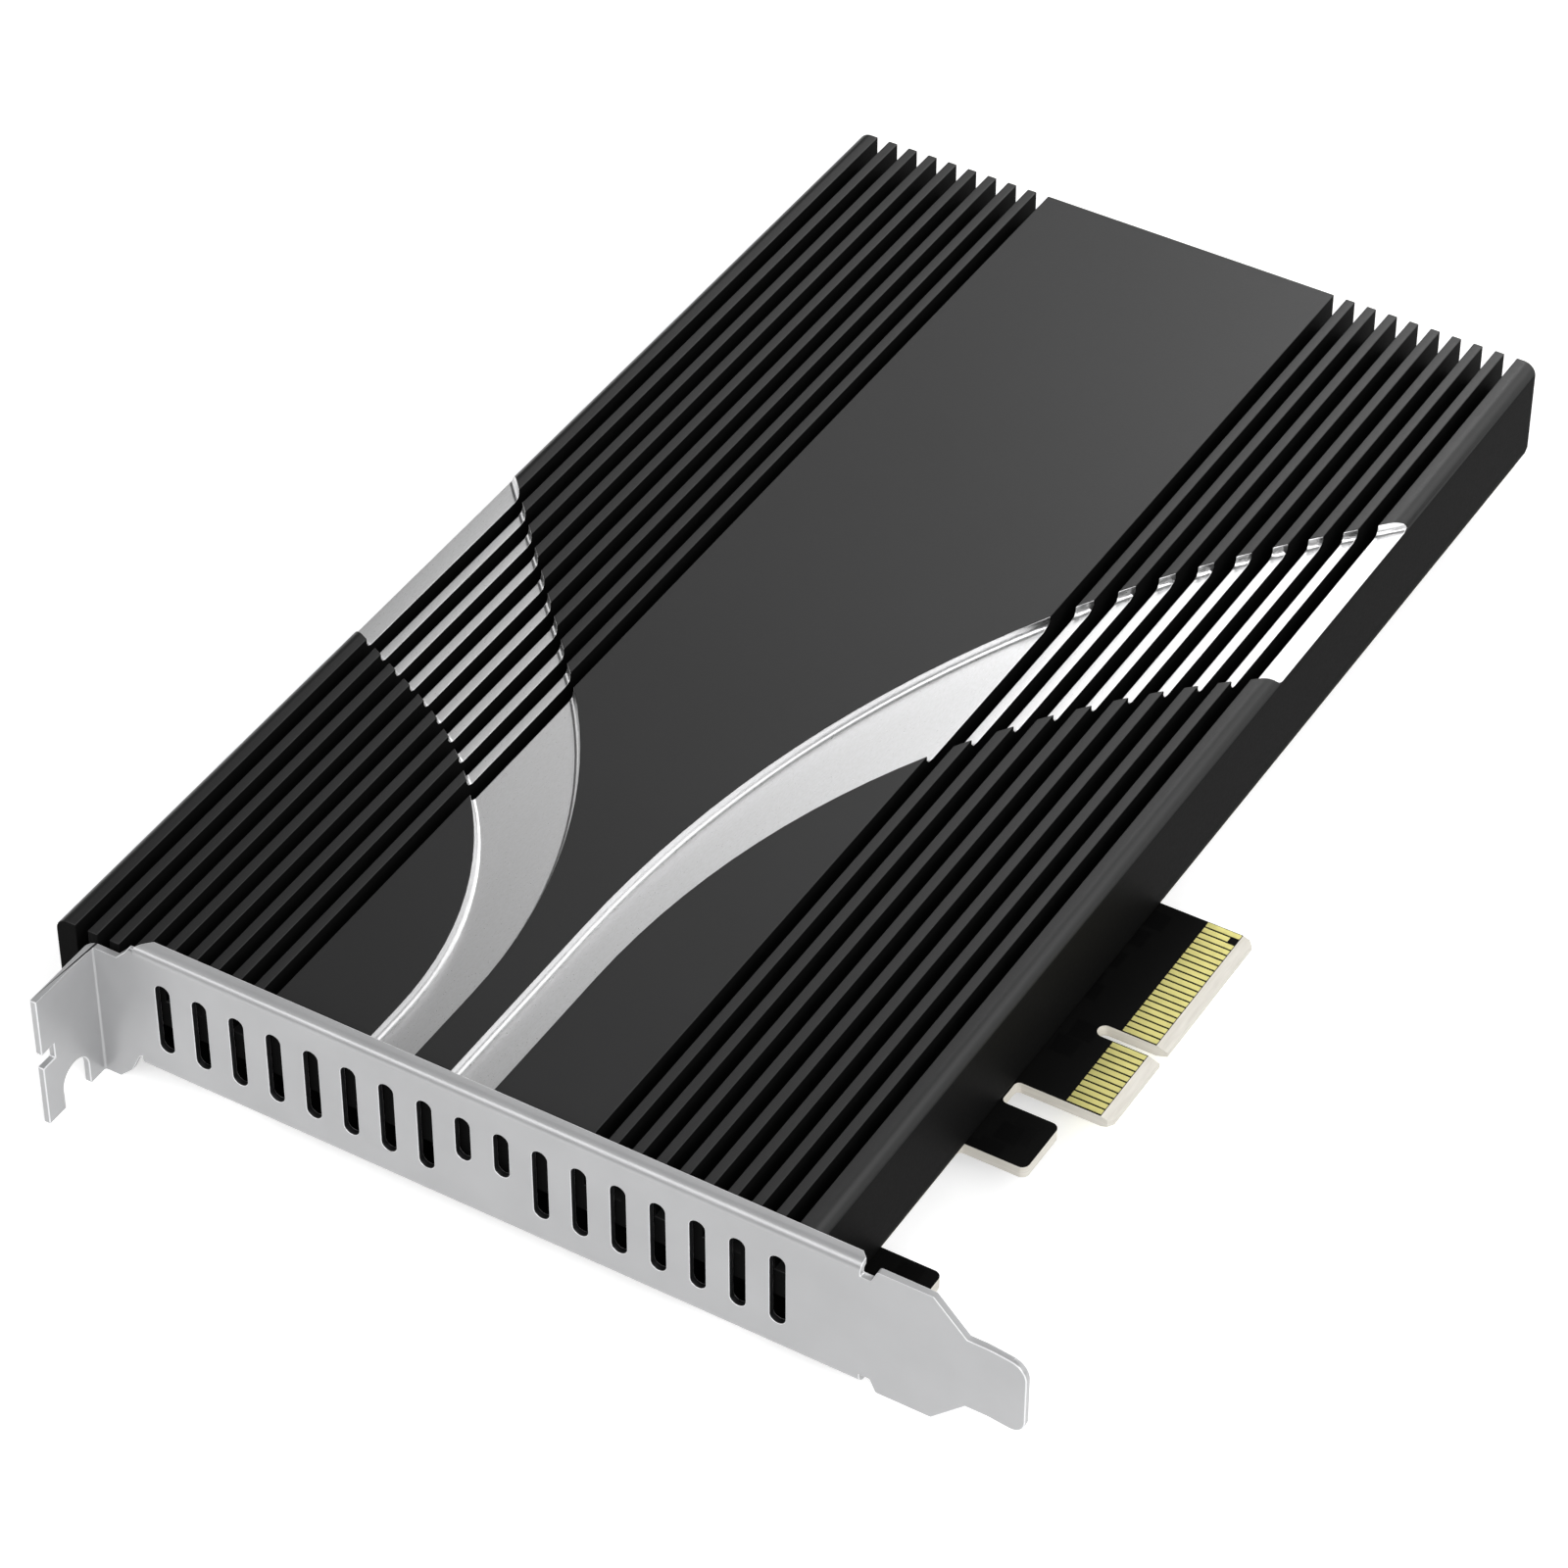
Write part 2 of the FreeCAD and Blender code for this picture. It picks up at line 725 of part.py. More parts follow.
def build_heatsink():
    body = new_body("heatsink")
    wall, top, base = size["sink_wall"], size["sink_top"], size["sink_base_bottom"]
    bevel, rise = size["sink_foot_bevel"], size["sink_foot_rise"]
    section = new_sketch(body, "sink_section", "YZ_Plane", size["sink_front"])
    outline(section, [
        (sink_low + bevel, 0), (sink_low + wall, 0), (sink_low + wall, base),
        (sink_high - wall, base), (sink_high - wall, 0), (sink_high - bevel, 0),
        (sink_high, rise), (sink_high, top, size["sink_edge_round"]),
        (sink_low, top, size["sink_edge_round"]), (sink_low, rise),
    ])
    pad(body, section, size["sink_length"])

    post_height, bore_depth = base + size["post_overlap"], size["screw_grip"] + size["bore_spare"]
    posts = rings(body, "sink_posts", POST_ROWS, 0, size["post_diameter"], HEAD_SIDES)
    along_rows(body, pad(body, posts, post_height))
    pad(body, rings(body, "ear_posts", EARS, 0, size["post_diameter"], HEAD_SIDES), post_height)
    bores = rings(body, "sink_bores", POST_ROWS, 0, size["screw_diameter"], SHANK_SIDES)
    along_rows(body, pocket(body, bores, bore_depth, flipped=True))
    ear_bores = rings(body, "ear_bores", EARS, 0, size["screw_diameter"], SHANK_SIDES)
    pocket(body, ear_bores, bore_depth, flipped=True)

    groove_row(body, 1)
    groove_row(body, -1)
    doc.recompute()

    left = channel_tool(
        "left_channel", 1,
        (size["left_near_y"], size["left_near_bend"], size["left_near_radius"], size["left_near_angle"]),
        (size["left_far_y"], size["left_far_bend"], size["left_far_radius"], size["left_far_angle"]),
    )
    right = channel_tool(
        "right_channel", -1,
        (size["right_near_y"], size["right_near_bend"], size["right_near_radius"], size["right_near_angle"]),
        (size["right_far_y"], size["right_far_bend"], size["right_far_radius"], size["right_far_angle"]),
    )
    doc.recompute()
    cut = add_feature(body, "Boolean", "channels")
    cut.Type = "Cut"
    cut.addObjects([left, right])
    body.Tip = cut
    return finish(body)


def build_bracket():
    body = new_body("bracket")
    sheet_size, low, high = size["sheet"], bracket_low, bracket_high
    flange_outer = size["flange_face"] + sheet_size
    angle = size["tab_bend_angle"]
    tip_x = (size["tab_tip"] - size["tab_bend"]) * tangent(angle)

    # Side view of the folded sheet: bent tab, plate and screw flange
    fold = new_sketch(body, "bracket_fold", "XY_Plane", size["flange_low"])
    outline(fold, [
        (-size["flange_reach"], size["flange_face"]),
        (0, size["flange_face"], size["flange_round"]),
        (0, size["tab_bend"]),
        (tip_x, size["tab_tip"]),
        (tip_x + sheet_size * cosine(angle), size["tab_tip"] - sheet_size * sine(angle)),
        (sheet_size, size["tab_bend"] - sheet_size * tangent(angle / 2)),
        (sheet_size, flange_outer, size["flange_round"] + sheet_size),
        (-size["flange_reach"], flange_outer),
    ])
    pad(body, fold, bracket_high - size["flange_low"])

    # Front view of the sheet: everything outside its outline is cut away
    margin, beyond = size["blank_margin"], size["overrun"]
    fold_margin = size["lip_round"] + size["fold_clearance"]
    web_low, web_high = low + fold_margin, high - fold_margin
    half_tab = size["tab_width"] / 2
    blank = new_sketch(body, "bracket_blank", "YZ_Plane", margin)
    rectangle(
        blank, size["tab_tip"] - margin, flange_outer + margin,
        size["flange_low"] - margin, high + margin,
    )
    lip_end, relief, foot = size["lip_tab_end"], size["relief_end"], size["relief_foot"]
    relief_round, relief_depth = size["relief_round"], size["relief_depth"]
    notch, shelf, neck_round = size["lip_flange_end"], size["neck_shelf"], size["neck_round"]
    outline(blank, [
        (size["tab_tip"], size["tab_centre"] - half_tab, size["tab_corner"]),
        (size["tab_root"], size["tab_centre"] - half_tab),
        (size["shoulder"], low),
        (relief, low, relief_round),
        (foot, low + relief_depth, relief_round),
        (lip_end, low + relief_depth),
        (lip_end, web_low),
        (notch, web_low),
        (notch + size["low_neck_start"], low + shelf),
        (notch + size["low_neck_middle"], low - size["neck_drop"], neck_round),
        (notch + size["low_neck_end"], size["flange_low"]),
        (flange_outer + beyond, size["flange_low"]),
        (flange_outer + beyond, size["flange_high"]),
        (notch + size["high_neck_end"], size["flange_high"]),
        (notch + size["high_neck_start"], high - shelf),
        (notch + size["neck_knee"], high - size["neck_knee"]),
        (notch, high - size["neck_knee"]),
        (notch, web_high),
        (lip_end, web_high),
        (lip_end, high - relief_depth),
        (foot, high - relief_depth, relief_round),
        (relief, high, relief_round),
        (size["shoulder"], high),
        (size["tab_root"], size["tab_centre"] + half_tab),
        (size["tab_tip"], size["tab_centre"] + half_tab, size["tab_corner"]),
    ])
    pocket(body, blank, size["flange_reach"] + margin * 2)

    # The lips that stiffen the plate, folded towards the card
    inner = size["lip_round"] - sheet_size
    lips = new_sketch(body, "bracket_lips", "XZ_Plane", -size["lip_flange_end"])
    for edge, inward in ((high, -1), (low, 1)):
        root = edge + (fold_margin + sheet_size / 2) * inward
        corners = [
            (0, root), (sheet_size, root), (sheet_size, edge + sheet_size * inward, inner),
            (size["lip_reach"], edge + sheet_size * inward), (size["lip_reach"], edge),
            (0, edge, size["lip_round"]),
        ]
        outline(lips, corners if inward < 0 else corners[::-1])
    pad(body, lips, size["lip_flange_end"] - size["lip_tab_end"])

    # The corners of the upper lip
    trim = new_sketch(body, "lip_corners", "XY_Plane", high + beyond)
    reach = size["lip_reach"]
    past = reach + beyond
    run, tab_run = size["lip_trim_run"], size["lip_trim_tab_run"]
    outline(trim, [(reach - run, notch), (reach, notch - run), (past, notch - run), (past, notch)])
    outline(trim, [
        (reach - tab_run, lip_end), (past, lip_end), (past, lip_end + tab_run), (reach, lip_end + tab_run),
    ])
    pocket(body, trim, sheet_size + beyond)

    # The ears that lie on the board's solder side
    ears = new_sketch(body, "bracket_ears", "XY_Plane", low)
    half_ear = size["ear_width"] / 2
    for x, y in EARS:
        outline(ears, [
            (size["lip_round"], y - half_ear),
            (size["ear_reach"], y - half_ear, size["ear_round"]),
            (size["ear_reach"], y + half_ear, size["ear_round"]),
            (size["lip_round"], y + half_ear),
        ])
        flat_sided(ears, x, y, size["screw_diameter"] + size["screw_play"], SHANK_SIDES)
    pad(body, ears, sheet_size)

    # The flange's fork for the chassis screw and its small square notch
    fork = new_sketch(body, "flange_cuts", "XZ_Plane", -flange_outer - beyond)
    slot_width = size["screw_slot_width"]
    slot_low, slot_top = size["flange_low"] - slot_width, size["screw_slot_centre"] + slot_width / 2
    round_slot(fork, -size["screw_slot_reach"], slot_low, slot_top, slot_width)
    flange_end = -size["flange_reach"]
    rectangle(
        fork, flange_end - beyond, flange_end + size["flange_notch_depth"],
        size["flange_notch_low"], size["flange_notch_high"],
    )
    pocket(body, fork, sheet_size + beyond * 2, flipped=True)

    # The vents: full ones at both ends of the row and two short ones in the middle
    step, first = size["vent_spacing"], size["vent_first"]
    for name, count, bottom in (
        ("vents_low", size["vents_low_count"], size["vent_low"]),
        ("vents_short", size["vents_short_count"], size["vent_short_low"]),
        ("vents_high", size["vents_high_count"], size["vent_low"]),
    ):
        vent = new_sketch(body, name, "YZ_Plane", sheet_size + beyond)
        round_slot(vent, first, bottom, size["vent_high"], size["vent_width"])
        opening = pocket(body, vent, sheet_size + beyond * 2)
        repeat(body, opening, "Y_Axis", step * (count - 1), count)
        first = first + step * count
    return finish(body)


def build_screws(name, places, head_side, in_rows):
    """Screws with cone-edged heads on the solder side, alone or repeated along the card."""
    body = new_body(name, several=True)
    height = size["screw_head_height"]
    low = head_side - height
    head = rings(body, name + "_heads", places, head_side, size["screw_head"], HEAD_SIDES)
    heads = pad(body, head, height, flipped=True)
    if in_rows:
        along_rows(body, heads)
    soften(
        body, "Chamfer", name + "_cones",
        lambda box: near(box.ZMin, low) and near(box.ZMax, low),
        size["screw_head_bevel"],
    )
    shank = rings(body, name + "_shanks", places, head_side, size["screw_diameter"], SHANK_SIDES)
    shanks = pad(body, shank, size["screw_grip"] - head_side)
    if in_rows:
        along_rows(body, shanks)
    recess = new_sketch(body, name + "_recesses", "XY_Plane", low)
    for x, y in places:
        cross_recess(recess, x, y, size["recess_span"] / 2, size["recess_width"] / 2)
    recesses = pocket(body, recess, size["recess_depth"], flipped=True)
    if in_rows:
        along_rows(body, recesses)
    return finish(body)


def build_socket():
    body = new_body("socket_housing")
    front, mouth = size["socket_front"], socket_mouth
    middle = size["sink_centre"]
    section = new_sketch(body, "socket_plan", "XY_Plane")
    rectangle(section, front, mouth, socket_low_y, socket_high_y)
    pad(body, section, size["socket_height"])
    opening = new_sketch(body, "socket_slot", "YZ_Plane", mouth)
    half = size["slot_width"] / 2
    rib, rib_half = middle - size["key_rib_offset"], size["key_rib_width"] / 2
    beyond = size["overrun"]
    rectangle(opening, middle - half, rib - rib_half, size["slot_low"], size["slot_high"])
    rectangle(opening, rib + rib_half, middle + half, size["slot_low"], size["slot_high"])
    pocket(body, opening, size["slot_depth"])
    shelf = new_sketch(body, "socket_shelf", "YZ_Plane", mouth)
    shelf_low, shelf_high = socket_low_y - beyond, socket_high_y + beyond
    rectangle(shelf, shelf_low, shelf_high, size["slot_high"], size["socket_height"] + beyond)
    pocket(body, shelf, size["shelf_depth"])
    pegs = new_sketch(body, "socket_pegs", "XY_Plane")
    for side in (-1, 1):
        peg_y = middle + size["peg_spacing"] / 2 * side
        flat_sided(pegs, socket_middle, peg_y, size["peg_diameter"], SHANK_SIDES)
    pad(body, pegs, size["peg_length"], flipped=True)
    return finish(body)


def build_socket_contacts():
    """Solder feet along both long sides of the socket, none where the key stands."""
    body = new_body("socket_contacts", several=True)
    step, half = size["foot_spacing"], size["foot_width"] / 2
    front, mouth, length = size["socket_front"], socket_mouth, size["foot_length"]
    rear_count, mouth_count = size["rear_feet_below_key_count"], size["mouth_feet_below_key_count"]
    long_count, gap = size["feet_above_key_count"], size["feet_in_key_count"]
    rear_first = size["sink_centre"] - size["rear_feet_half_span"]
    mouth_first = size["sink_centre"] - size["mouth_feet_half_span"]
    for name, x_low, x_high, first, count in (
        ("rear_feet_low", front - length, front, rear_first, rear_count),
        ("rear_feet_high", front - length, front, rear_first + step * (rear_count + gap), long_count),
        ("mouth_feet_low", mouth, mouth + length, mouth_first, mouth_count),
        ("mouth_feet_high", mouth, mouth + length, mouth_first + step * (mouth_count + gap), long_count),
    ):
        sketch = new_sketch(body, name, "XY_Plane")
        rectangle(sketch, x_low, x_high, first - half, first + half)
        foot = pad(body, sketch, size["foot_thickness"])
        repeat(body, foot, "Y_Axis", step * (count - 1), count)
    return finish(body)


def build_socket_anchors():
    body = new_body("socket_anchors", several=True)
    start, end = socket_middle - size["anchor_length"] / 2, socket_middle + size["anchor_length"] / 2
    thick, foot = size["anchor_thickness"], size["anchor_foot"]
    sketch = new_sketch(body, "anchor_section", "YZ_Plane", start)
    for edge, away in ((socket_low_y, -1), (socket_high_y, 1)):
        corners = [
            (edge, 0), (edge + foot * away, 0), (edge + foot * away, thick), (edge + thick * away, thick),
            (edge + thick * away, size["anchor_height"]), (edge, size["anchor_height"]),
        ]
        outline(sketch, corners if away > 0 else corners[::-1])
    pad(body, sketch, end - start)
    return finish(body)


def build_standoffs():
    body = new_body("drive_standoffs", several=True)
    places = [(drive_start + size[length], size["sink_centre"]) for length in ("short_drive", "long_drive")]
    barrel = new_sketch(body, "standoff_barrels", "XY_Plane")
    for x, y in places:
        flat_sided(barrel, x, y, size["standoff_diameter"], HEAD_SIDES)
        flat_sided(barrel, x, y, size["drive_screw_diameter"], SHANK_SIDES)
    pad(body, barrel, size["standoff_height"])
    pilot = new_sketch(body, "standoff_pilots", "XY_Plane")
    for x, y in places:
        flat_sided(pilot, x, y, size["standoff_pilot"], SHANK_SIDES)
        flat_sided(pilot, x, y, size["drive_screw_diameter"], SHANK_SIDES)
    pad(body, pilot, size["pilot_length"], flipped=True)
    return finish(body)


def build_drive_screw():
    body = new_body("drive_screw")
    x, y = drive_start + size["short_drive"], size["sink_centre"]
    seat, width = size["standoff_height"], size["drive_screw_head"]
    head = new_sketch(body, "drive_screw_head", "XY_Plane", seat)
    flat_sided(head, x, y, width, HEAD_SIDES)
    pad(body, head, size["drive_screw_head_height"])
    top = seat + size["drive_screw_head_height"]
    soften(
        body, "Chamfer", "drive_screw_cone",
        lambda box: near(box.ZMin, top) and near(box.ZMax, top),
        size["drive_screw_bevel"],
    )
    shank = new_sketch(body, "drive_screw_shank", "XY_Plane", seat)
    flat_sided(shank, x, y, size["drive_screw_diameter"], SHANK_SIDES)
    pad(body, shank, seat + size["pilot_length"], flipped=True)
    recess = new_sketch(body, "drive_screw_recess", "XY_Plane", top)
    cross_recess(recess, x, y, size["drive_recess_span"] / 2, size["drive_recess_width"] / 2)
    pocket(body, recess, size["drive_recess_depth"])
    return finish(body)


def build_drive_pad():
    body = new_body("drive_pad")
    sketch = new_sketch(body, "pad_plan", "XY_Plane", size["sink_base_bottom"] - size["pad_thickness"])
    start = socket_mouth + size["pad_setback"]
    half = size["pad_width"] / 2
    middle = size["sink_centre"]
    rectangle(sketch, start, start + size["pad_length"], middle - half, middle + half)
    pad(body, sketch, size["pad_thickness"])
    return finish(body)


def build_blocks(name, places, length, width, height, bevel, below=False):
    """Soldered parts of one kind, standing on the board or hanging below it."""
    body = new_body(name, several=True)
    level = board_bottom if below else as_size(0)
    sketch = new_sketch(body, name + "_plan", "XY_Plane", level)
    for x, y in places:
        centred_rectangle(sketch, x, y, length, width)
    pad(body, sketch, height, flipped=below)
    top = level - height if below else level + height
    soften(
        body, "Chamfer", name + "_edges",
        lambda box: near(box.ZMin, top) and near(box.ZMax, top),
        bevel,
    )
    return finish(body)


def build_soldered_parts():
    choke_x, choke_y, choke = size["choke_x"], size["choke_y"], size["choke_size"]
    chip_bevel, small_bevel = size["chip_bevel"], size["small_bevel"]
    build_blocks("inductor", [(choke_x, choke_y)], choke, choke, size["choke_height"], size["deep_bevel"])
    build_blocks(
        "regulator", [(size["converter_x"], choke_y)],
        size["converter_length"], size["converter_width"], size["converter_height"], chip_bevel,
    )
    tank = size["tank_width"], size["tank_length"], size["tank_height"], size["tank_bevel"]
    step = size["tank_spacing"]
    before = size["converter_x"] - size["converter_length"] / 2 - step
    after = choke_x + choke / 2 + step
    build_blocks("input_capacitors", [(before - step * i, choke_y) for i in range(INPUT_TANKS)], *tank)
    build_blocks("output_capacitors", [(after + step * i, choke_y) for i in range(OUTPUT_TANKS)], *tank)

    lane_step = size["contact_spacing"] * 2
    lane_y = board_low_edge + size["lane_setback"]
    first_lane = size["key_centre"] + lane_step * 2
    lanes = [(first_lane + lane_step * i, lane_y) for i in range(COUPLED_LINES)]
    length, width, height = size["small_length"], size["small_width"], size["small_height"]
    build_blocks("coupling_capacitors", lanes, width, length, height, small_bevel)
    beside = size["socket_front"] - size["strap_setback"]
    first_strap = size["sink_centre"] - lane_step * (STRAPS - 1) / 2
    straps = [(beside, first_strap + lane_step * i) for i in range(STRAPS)]
    build_blocks("resistors", straps, length, width, height, small_bevel)

    build_blocks(
        "clock_buffer", [(size["socket_front"] - size["buffer_setback"], size["sink_centre"])],
        size["buffer_size"], size["buffer_size"], size["buffer_height"], chip_bevel,
    )
    light_place = size["board_front"] + size["light_setback"], size["sink_centre"] - size["light_offset"]
    build_blocks(
        "activity_light", [light_place],
        size["light_width"], size["light_length"], size["light_height"], chip_bevel,
    )
    step, first = size["chip_length"] * 3, socket_mouth + size["under_setback"]
    under = [(first + step * i, size["sink_centre"]) for i in range(SOLDER_SIDE_PARTS)]
    build_blocks(
        "solder_side_capacitors", under,
        size["chip_width"], size["chip_length"], size["chip_height"], chip_bevel, below=True,
    )


def check_document():
    """Stop with a plain message where a feature failed or cuts nothing."""
    for feature in doc.Objects:
        if "Invalid" in feature.State or "Error" in feature.State:
            raise RuntimeError("feature failed: " + feature.Name)
        if feature.TypeId == "PartDesign::Pocket":
            if feature.Shape.Volume > feature.BaseFeature.Shape.Volume - 0.001:
                raise RuntimeError("pocket cuts nothing: " + feature.Name)
    for piece in PIECES:
        if piece.Shape.isNull() or not piece.Shape.isValid():
            raise RuntimeError("bad shape: " + piece.Label)


def main():
    build_board()
    build_contacts("edge_contacts_component", as_size(0), False, True)
    build_contacts("edge_contacts_solder", board_bottom, True, False)
    build_heatsink()
    build_bracket()
    build_screws("heatsink_screws", POST_ROWS, board_bottom, True)
    build_screws("bracket_screws", EARS, bracket_low, False)
    build_socket()
    build_socket_contacts()
    build_socket_anchors()
    build_standoffs()
    build_drive_screw()
    build_drive_pad()
    build_soldered_parts()
    doc.recompute()
    check_document()
    os.makedirs("parts", exist_ok=True)
    for piece in PIECES:
        piece.Shape.exportStep("parts/%s.step" % piece.Label)
        print(piece.Label, len(piece.Shape.Solids), round(piece.Shape.Volume, 2))


main()
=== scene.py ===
import bmesh
import bpy
import math
from mathutils import Matrix, Vector
from mathutils.bvhtree import BVHTree


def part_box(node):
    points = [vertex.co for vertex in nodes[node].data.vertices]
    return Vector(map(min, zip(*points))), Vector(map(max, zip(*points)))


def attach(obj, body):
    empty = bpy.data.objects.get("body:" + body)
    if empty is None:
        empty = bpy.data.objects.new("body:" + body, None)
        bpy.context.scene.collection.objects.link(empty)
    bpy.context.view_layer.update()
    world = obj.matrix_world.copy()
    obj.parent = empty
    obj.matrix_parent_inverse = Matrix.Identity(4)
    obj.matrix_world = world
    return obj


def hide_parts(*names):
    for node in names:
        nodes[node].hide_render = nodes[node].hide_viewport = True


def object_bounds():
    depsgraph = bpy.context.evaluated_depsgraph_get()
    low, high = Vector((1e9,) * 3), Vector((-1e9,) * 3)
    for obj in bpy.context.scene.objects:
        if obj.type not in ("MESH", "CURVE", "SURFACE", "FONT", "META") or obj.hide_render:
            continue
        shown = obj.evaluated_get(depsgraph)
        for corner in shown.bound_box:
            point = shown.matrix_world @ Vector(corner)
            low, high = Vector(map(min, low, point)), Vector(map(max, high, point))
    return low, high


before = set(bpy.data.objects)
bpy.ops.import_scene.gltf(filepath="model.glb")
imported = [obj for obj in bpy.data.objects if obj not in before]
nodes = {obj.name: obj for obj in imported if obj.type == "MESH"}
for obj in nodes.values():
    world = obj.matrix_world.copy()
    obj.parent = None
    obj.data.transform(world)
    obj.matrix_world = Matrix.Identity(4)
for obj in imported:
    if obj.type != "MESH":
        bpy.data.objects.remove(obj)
cad_low, cad_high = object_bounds()

# Metres in a millimetre: the scene is in metres, and the sizes below are in millimetres
MM = 0.001

# The photograph's camera: its focal length in pixels, where it stands and the axes of its picture
PHOTO_WIDTH = 1600
FOCAL_PIXELS = 5715.6
SENSOR_WIDTH = 36.0
CAMERA_PLACE = Vector((-348.21, -207.51, 440.39)) * MM
CAMERA_RIGHT = Vector((0.515822, -0.856696, -0.000378))
CAMERA_FORWARD = Vector((0.639956, 0.385615, -0.664648))
CLIP_NEAR, CLIP_FAR = 0.01, 100.0

# Room and floor, in metres and as shares of full white
ROOM_LIGHT = 0.08
FLOOR_REACH = 30.0
FLOOR_GAP = 0.02 * MM
FLOOR_PAPER, FLOOR_GLOW = 0.82, 0.55

# Soft boxes: azimuth and elevation in degrees, distance, width and height in metres, power in watts
LAMPS = {
    "far_box": (8, 35, 1.2, 0.42, 0.46, 2.1),
    "far_fill": (28, 36, 1.2, 0.42, 0.42, 0.6),
    "front_box": (150, 42, 1.6, 0.9, 0.7, 6.8),
    "left_box": (210, 35, 1.6, 1.8, 1.2, 12.5),
    "side_box": (-105, 42, 1.6, 1.4, 1.1, 10.8),
    "edge_box": (-36, 27, 1.4, 1.7, 1.1, 7.8),
    "back_box": (88, 12, 1.4, 0.9, 0.4, 1.5),
}

# Faces of the heatsink that its cutter left bare, by height and by the slack of an edge's line
SINK_LOW, SINK_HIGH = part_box("heatsink")
SINK_START, SINK_TOP = SINK_LOW[0] / MM, SINK_HIGH[2] / MM
CHANNEL_FLOOR = SINK_TOP - 1.4
FACE_SLACK = 0.01
TOP_SLACK = 0.05
EDGE_SLACK = 0.06

# Vents' punched walls, painted dark as shade: the sheet's thickness, and the vents' reach up and
# along the bracket
SHEET_LOW, SHEET_HIGH = 0.02, 0.84
VENTS_LOW, VENTS_HIGH = 1.5, 11.95
VENTS_FIRST, VENTS_LAST = 1.5, 90.0

# Share of a face's normal along an axis, where the face is square to it and where it runs along it
SQUARE, END_SQUARE, ALONG = 0.99, 0.999, 0.3

# Broken edges: width and steps, the share of a short edge they may take, and what counts as sharp
BROKEN_EDGE = 0.12
BROKEN_STEPS = 2
SHORT_SHARE = 0.45
SHARP_ANGLE = math.radians(50)
FLAT_ANGLE = math.radians(0.3)
SAME_PLACE = 0.0005 * MM

# Corners that the bevel can't round: how far a point may stray, and how near a corner counts
STRAY = 0.06
CORNER_REACH = 0.12
CALM_ROUNDS = 6

# Turned work: sides of a round, sides of a thread, steps of a rounded edge, and the smoothing angle
ROUND_SIDES = 48
THREAD_SIDES = 24
EDGE_STEPS = 4
SMOOTH_ANGLE = math.radians(35)

# Screws: head radius, height and edge round, thread crest, core and pitch, and the driver recess
LARGE_SCREW = {
    "head": 2.33, "height": 1.5, "edge": 0.55, "crest": 1.2, "core": 0.98, "pitch": 0.45,
    "arm": 1.25, "half": 0.275, "depth": 0.9,
}
SMALL_SCREW = {
    "head": 1.88, "height": 0.7, "edge": 0.3, "crest": 0.91, "core": 0.74, "pitch": 0.4,
    "arm": 0.95, "half": 0.2375, "depth": 0.35,
}

# Driver recess: the flat ring round it, and the shares of its arm and half width left at its foot
RECESS_RIM = 0.3
RECESS_FOOT_ARM, RECESS_FOOT_HALF = 0.55, 0.8

# Broken edges under a screw's head and at its tip
HEAD_BREAK = 0.03
TIP_LENGTH, TIP_DEPTH = 0.35, 0.3

# Thread: lengths free at both ends, its foot's depth, and its half width as a share of the pitch
THREAD_START, THREAD_SPARE = 0.6, 0.5
THREAD_ROOT, THREAD_HALF = 0.03, 0.45

# Standoffs: radii, and how far each edge is broken
BORE, BODY, FOOT = 0.94, 2.18, 1.44
BORE_TOP_BREAK, BODY_BREAK, FOOT_BREAK, BORE_FOOT_BREAK = 0.11, 0.13, 0.08, 0.06

# Soldered parts: the case's inset and edge, the ends' edge, and a height inside the board
CASE_INSET, CASE_EDGE = 0.04, 0.06
END_EDGE = 0.03
IN_BOARD = -0.5

# Tints of grey, and the stretch of tool lines and grain
NEUTRAL = (1, 1, 1)
COOL_DYE = (1, 1, 1.03)
COOL_METAL = (1, 1, 1.01)
COOL_STEEL = (1, 1.005, 1.02)
WARM_MASK = (1, 1, 0.97)
ALONG_CARD = (0.25, 1, 1)
ALONG_BRACKET = (1, 0.12, 1)
IN_LAYERS = (0.15, 0.15, 4.0)
POUR_SCALE = (0.22, 0.22, 0.0)

# Heatsink's dye levels and its painted side shade, and its roughness and gloss on the sides and on
# top
DYE_LOW, DYE_HIGH, SIDES_SHADE = 0.0125, 0.014, 0.0065
ROUGH_SIDES, ROUGH_TOP, ROUGH_GRAIN = 0.52, 0.36, 0.03
GLOSS_SIDES, GLOSS_TOP = 0.012, 0.5
UPWARD = (0.1, 0.8)

# The rest of the looks: lowest and highest values, and how much clouds darken or lighten a colour
MILLED_ROUGH, MILLED_DARKER = (0.27, 0.38), 0.93
STEEL_ROUGH, STEEL_METALLIC = (0.28, 0.34), 0.3
MASK_LOW, MASK_HIGH, MASK_ROUGH, MASK_GLOSS = 0.003, 0.0045, (0.40, 0.50), 0.04
POUR_EDGES = (0.28, 0.36)
LAMINATE_LOW, LAMINATE_HIGH = (0.70, 0.67, 0.60, 1), (0.80, 0.77, 0.70, 1)
LAMINATE_ROUGH = (0.6, 0.75)
METAL_DARKER, MOULDED_LIGHTER = 0.9, 1.18


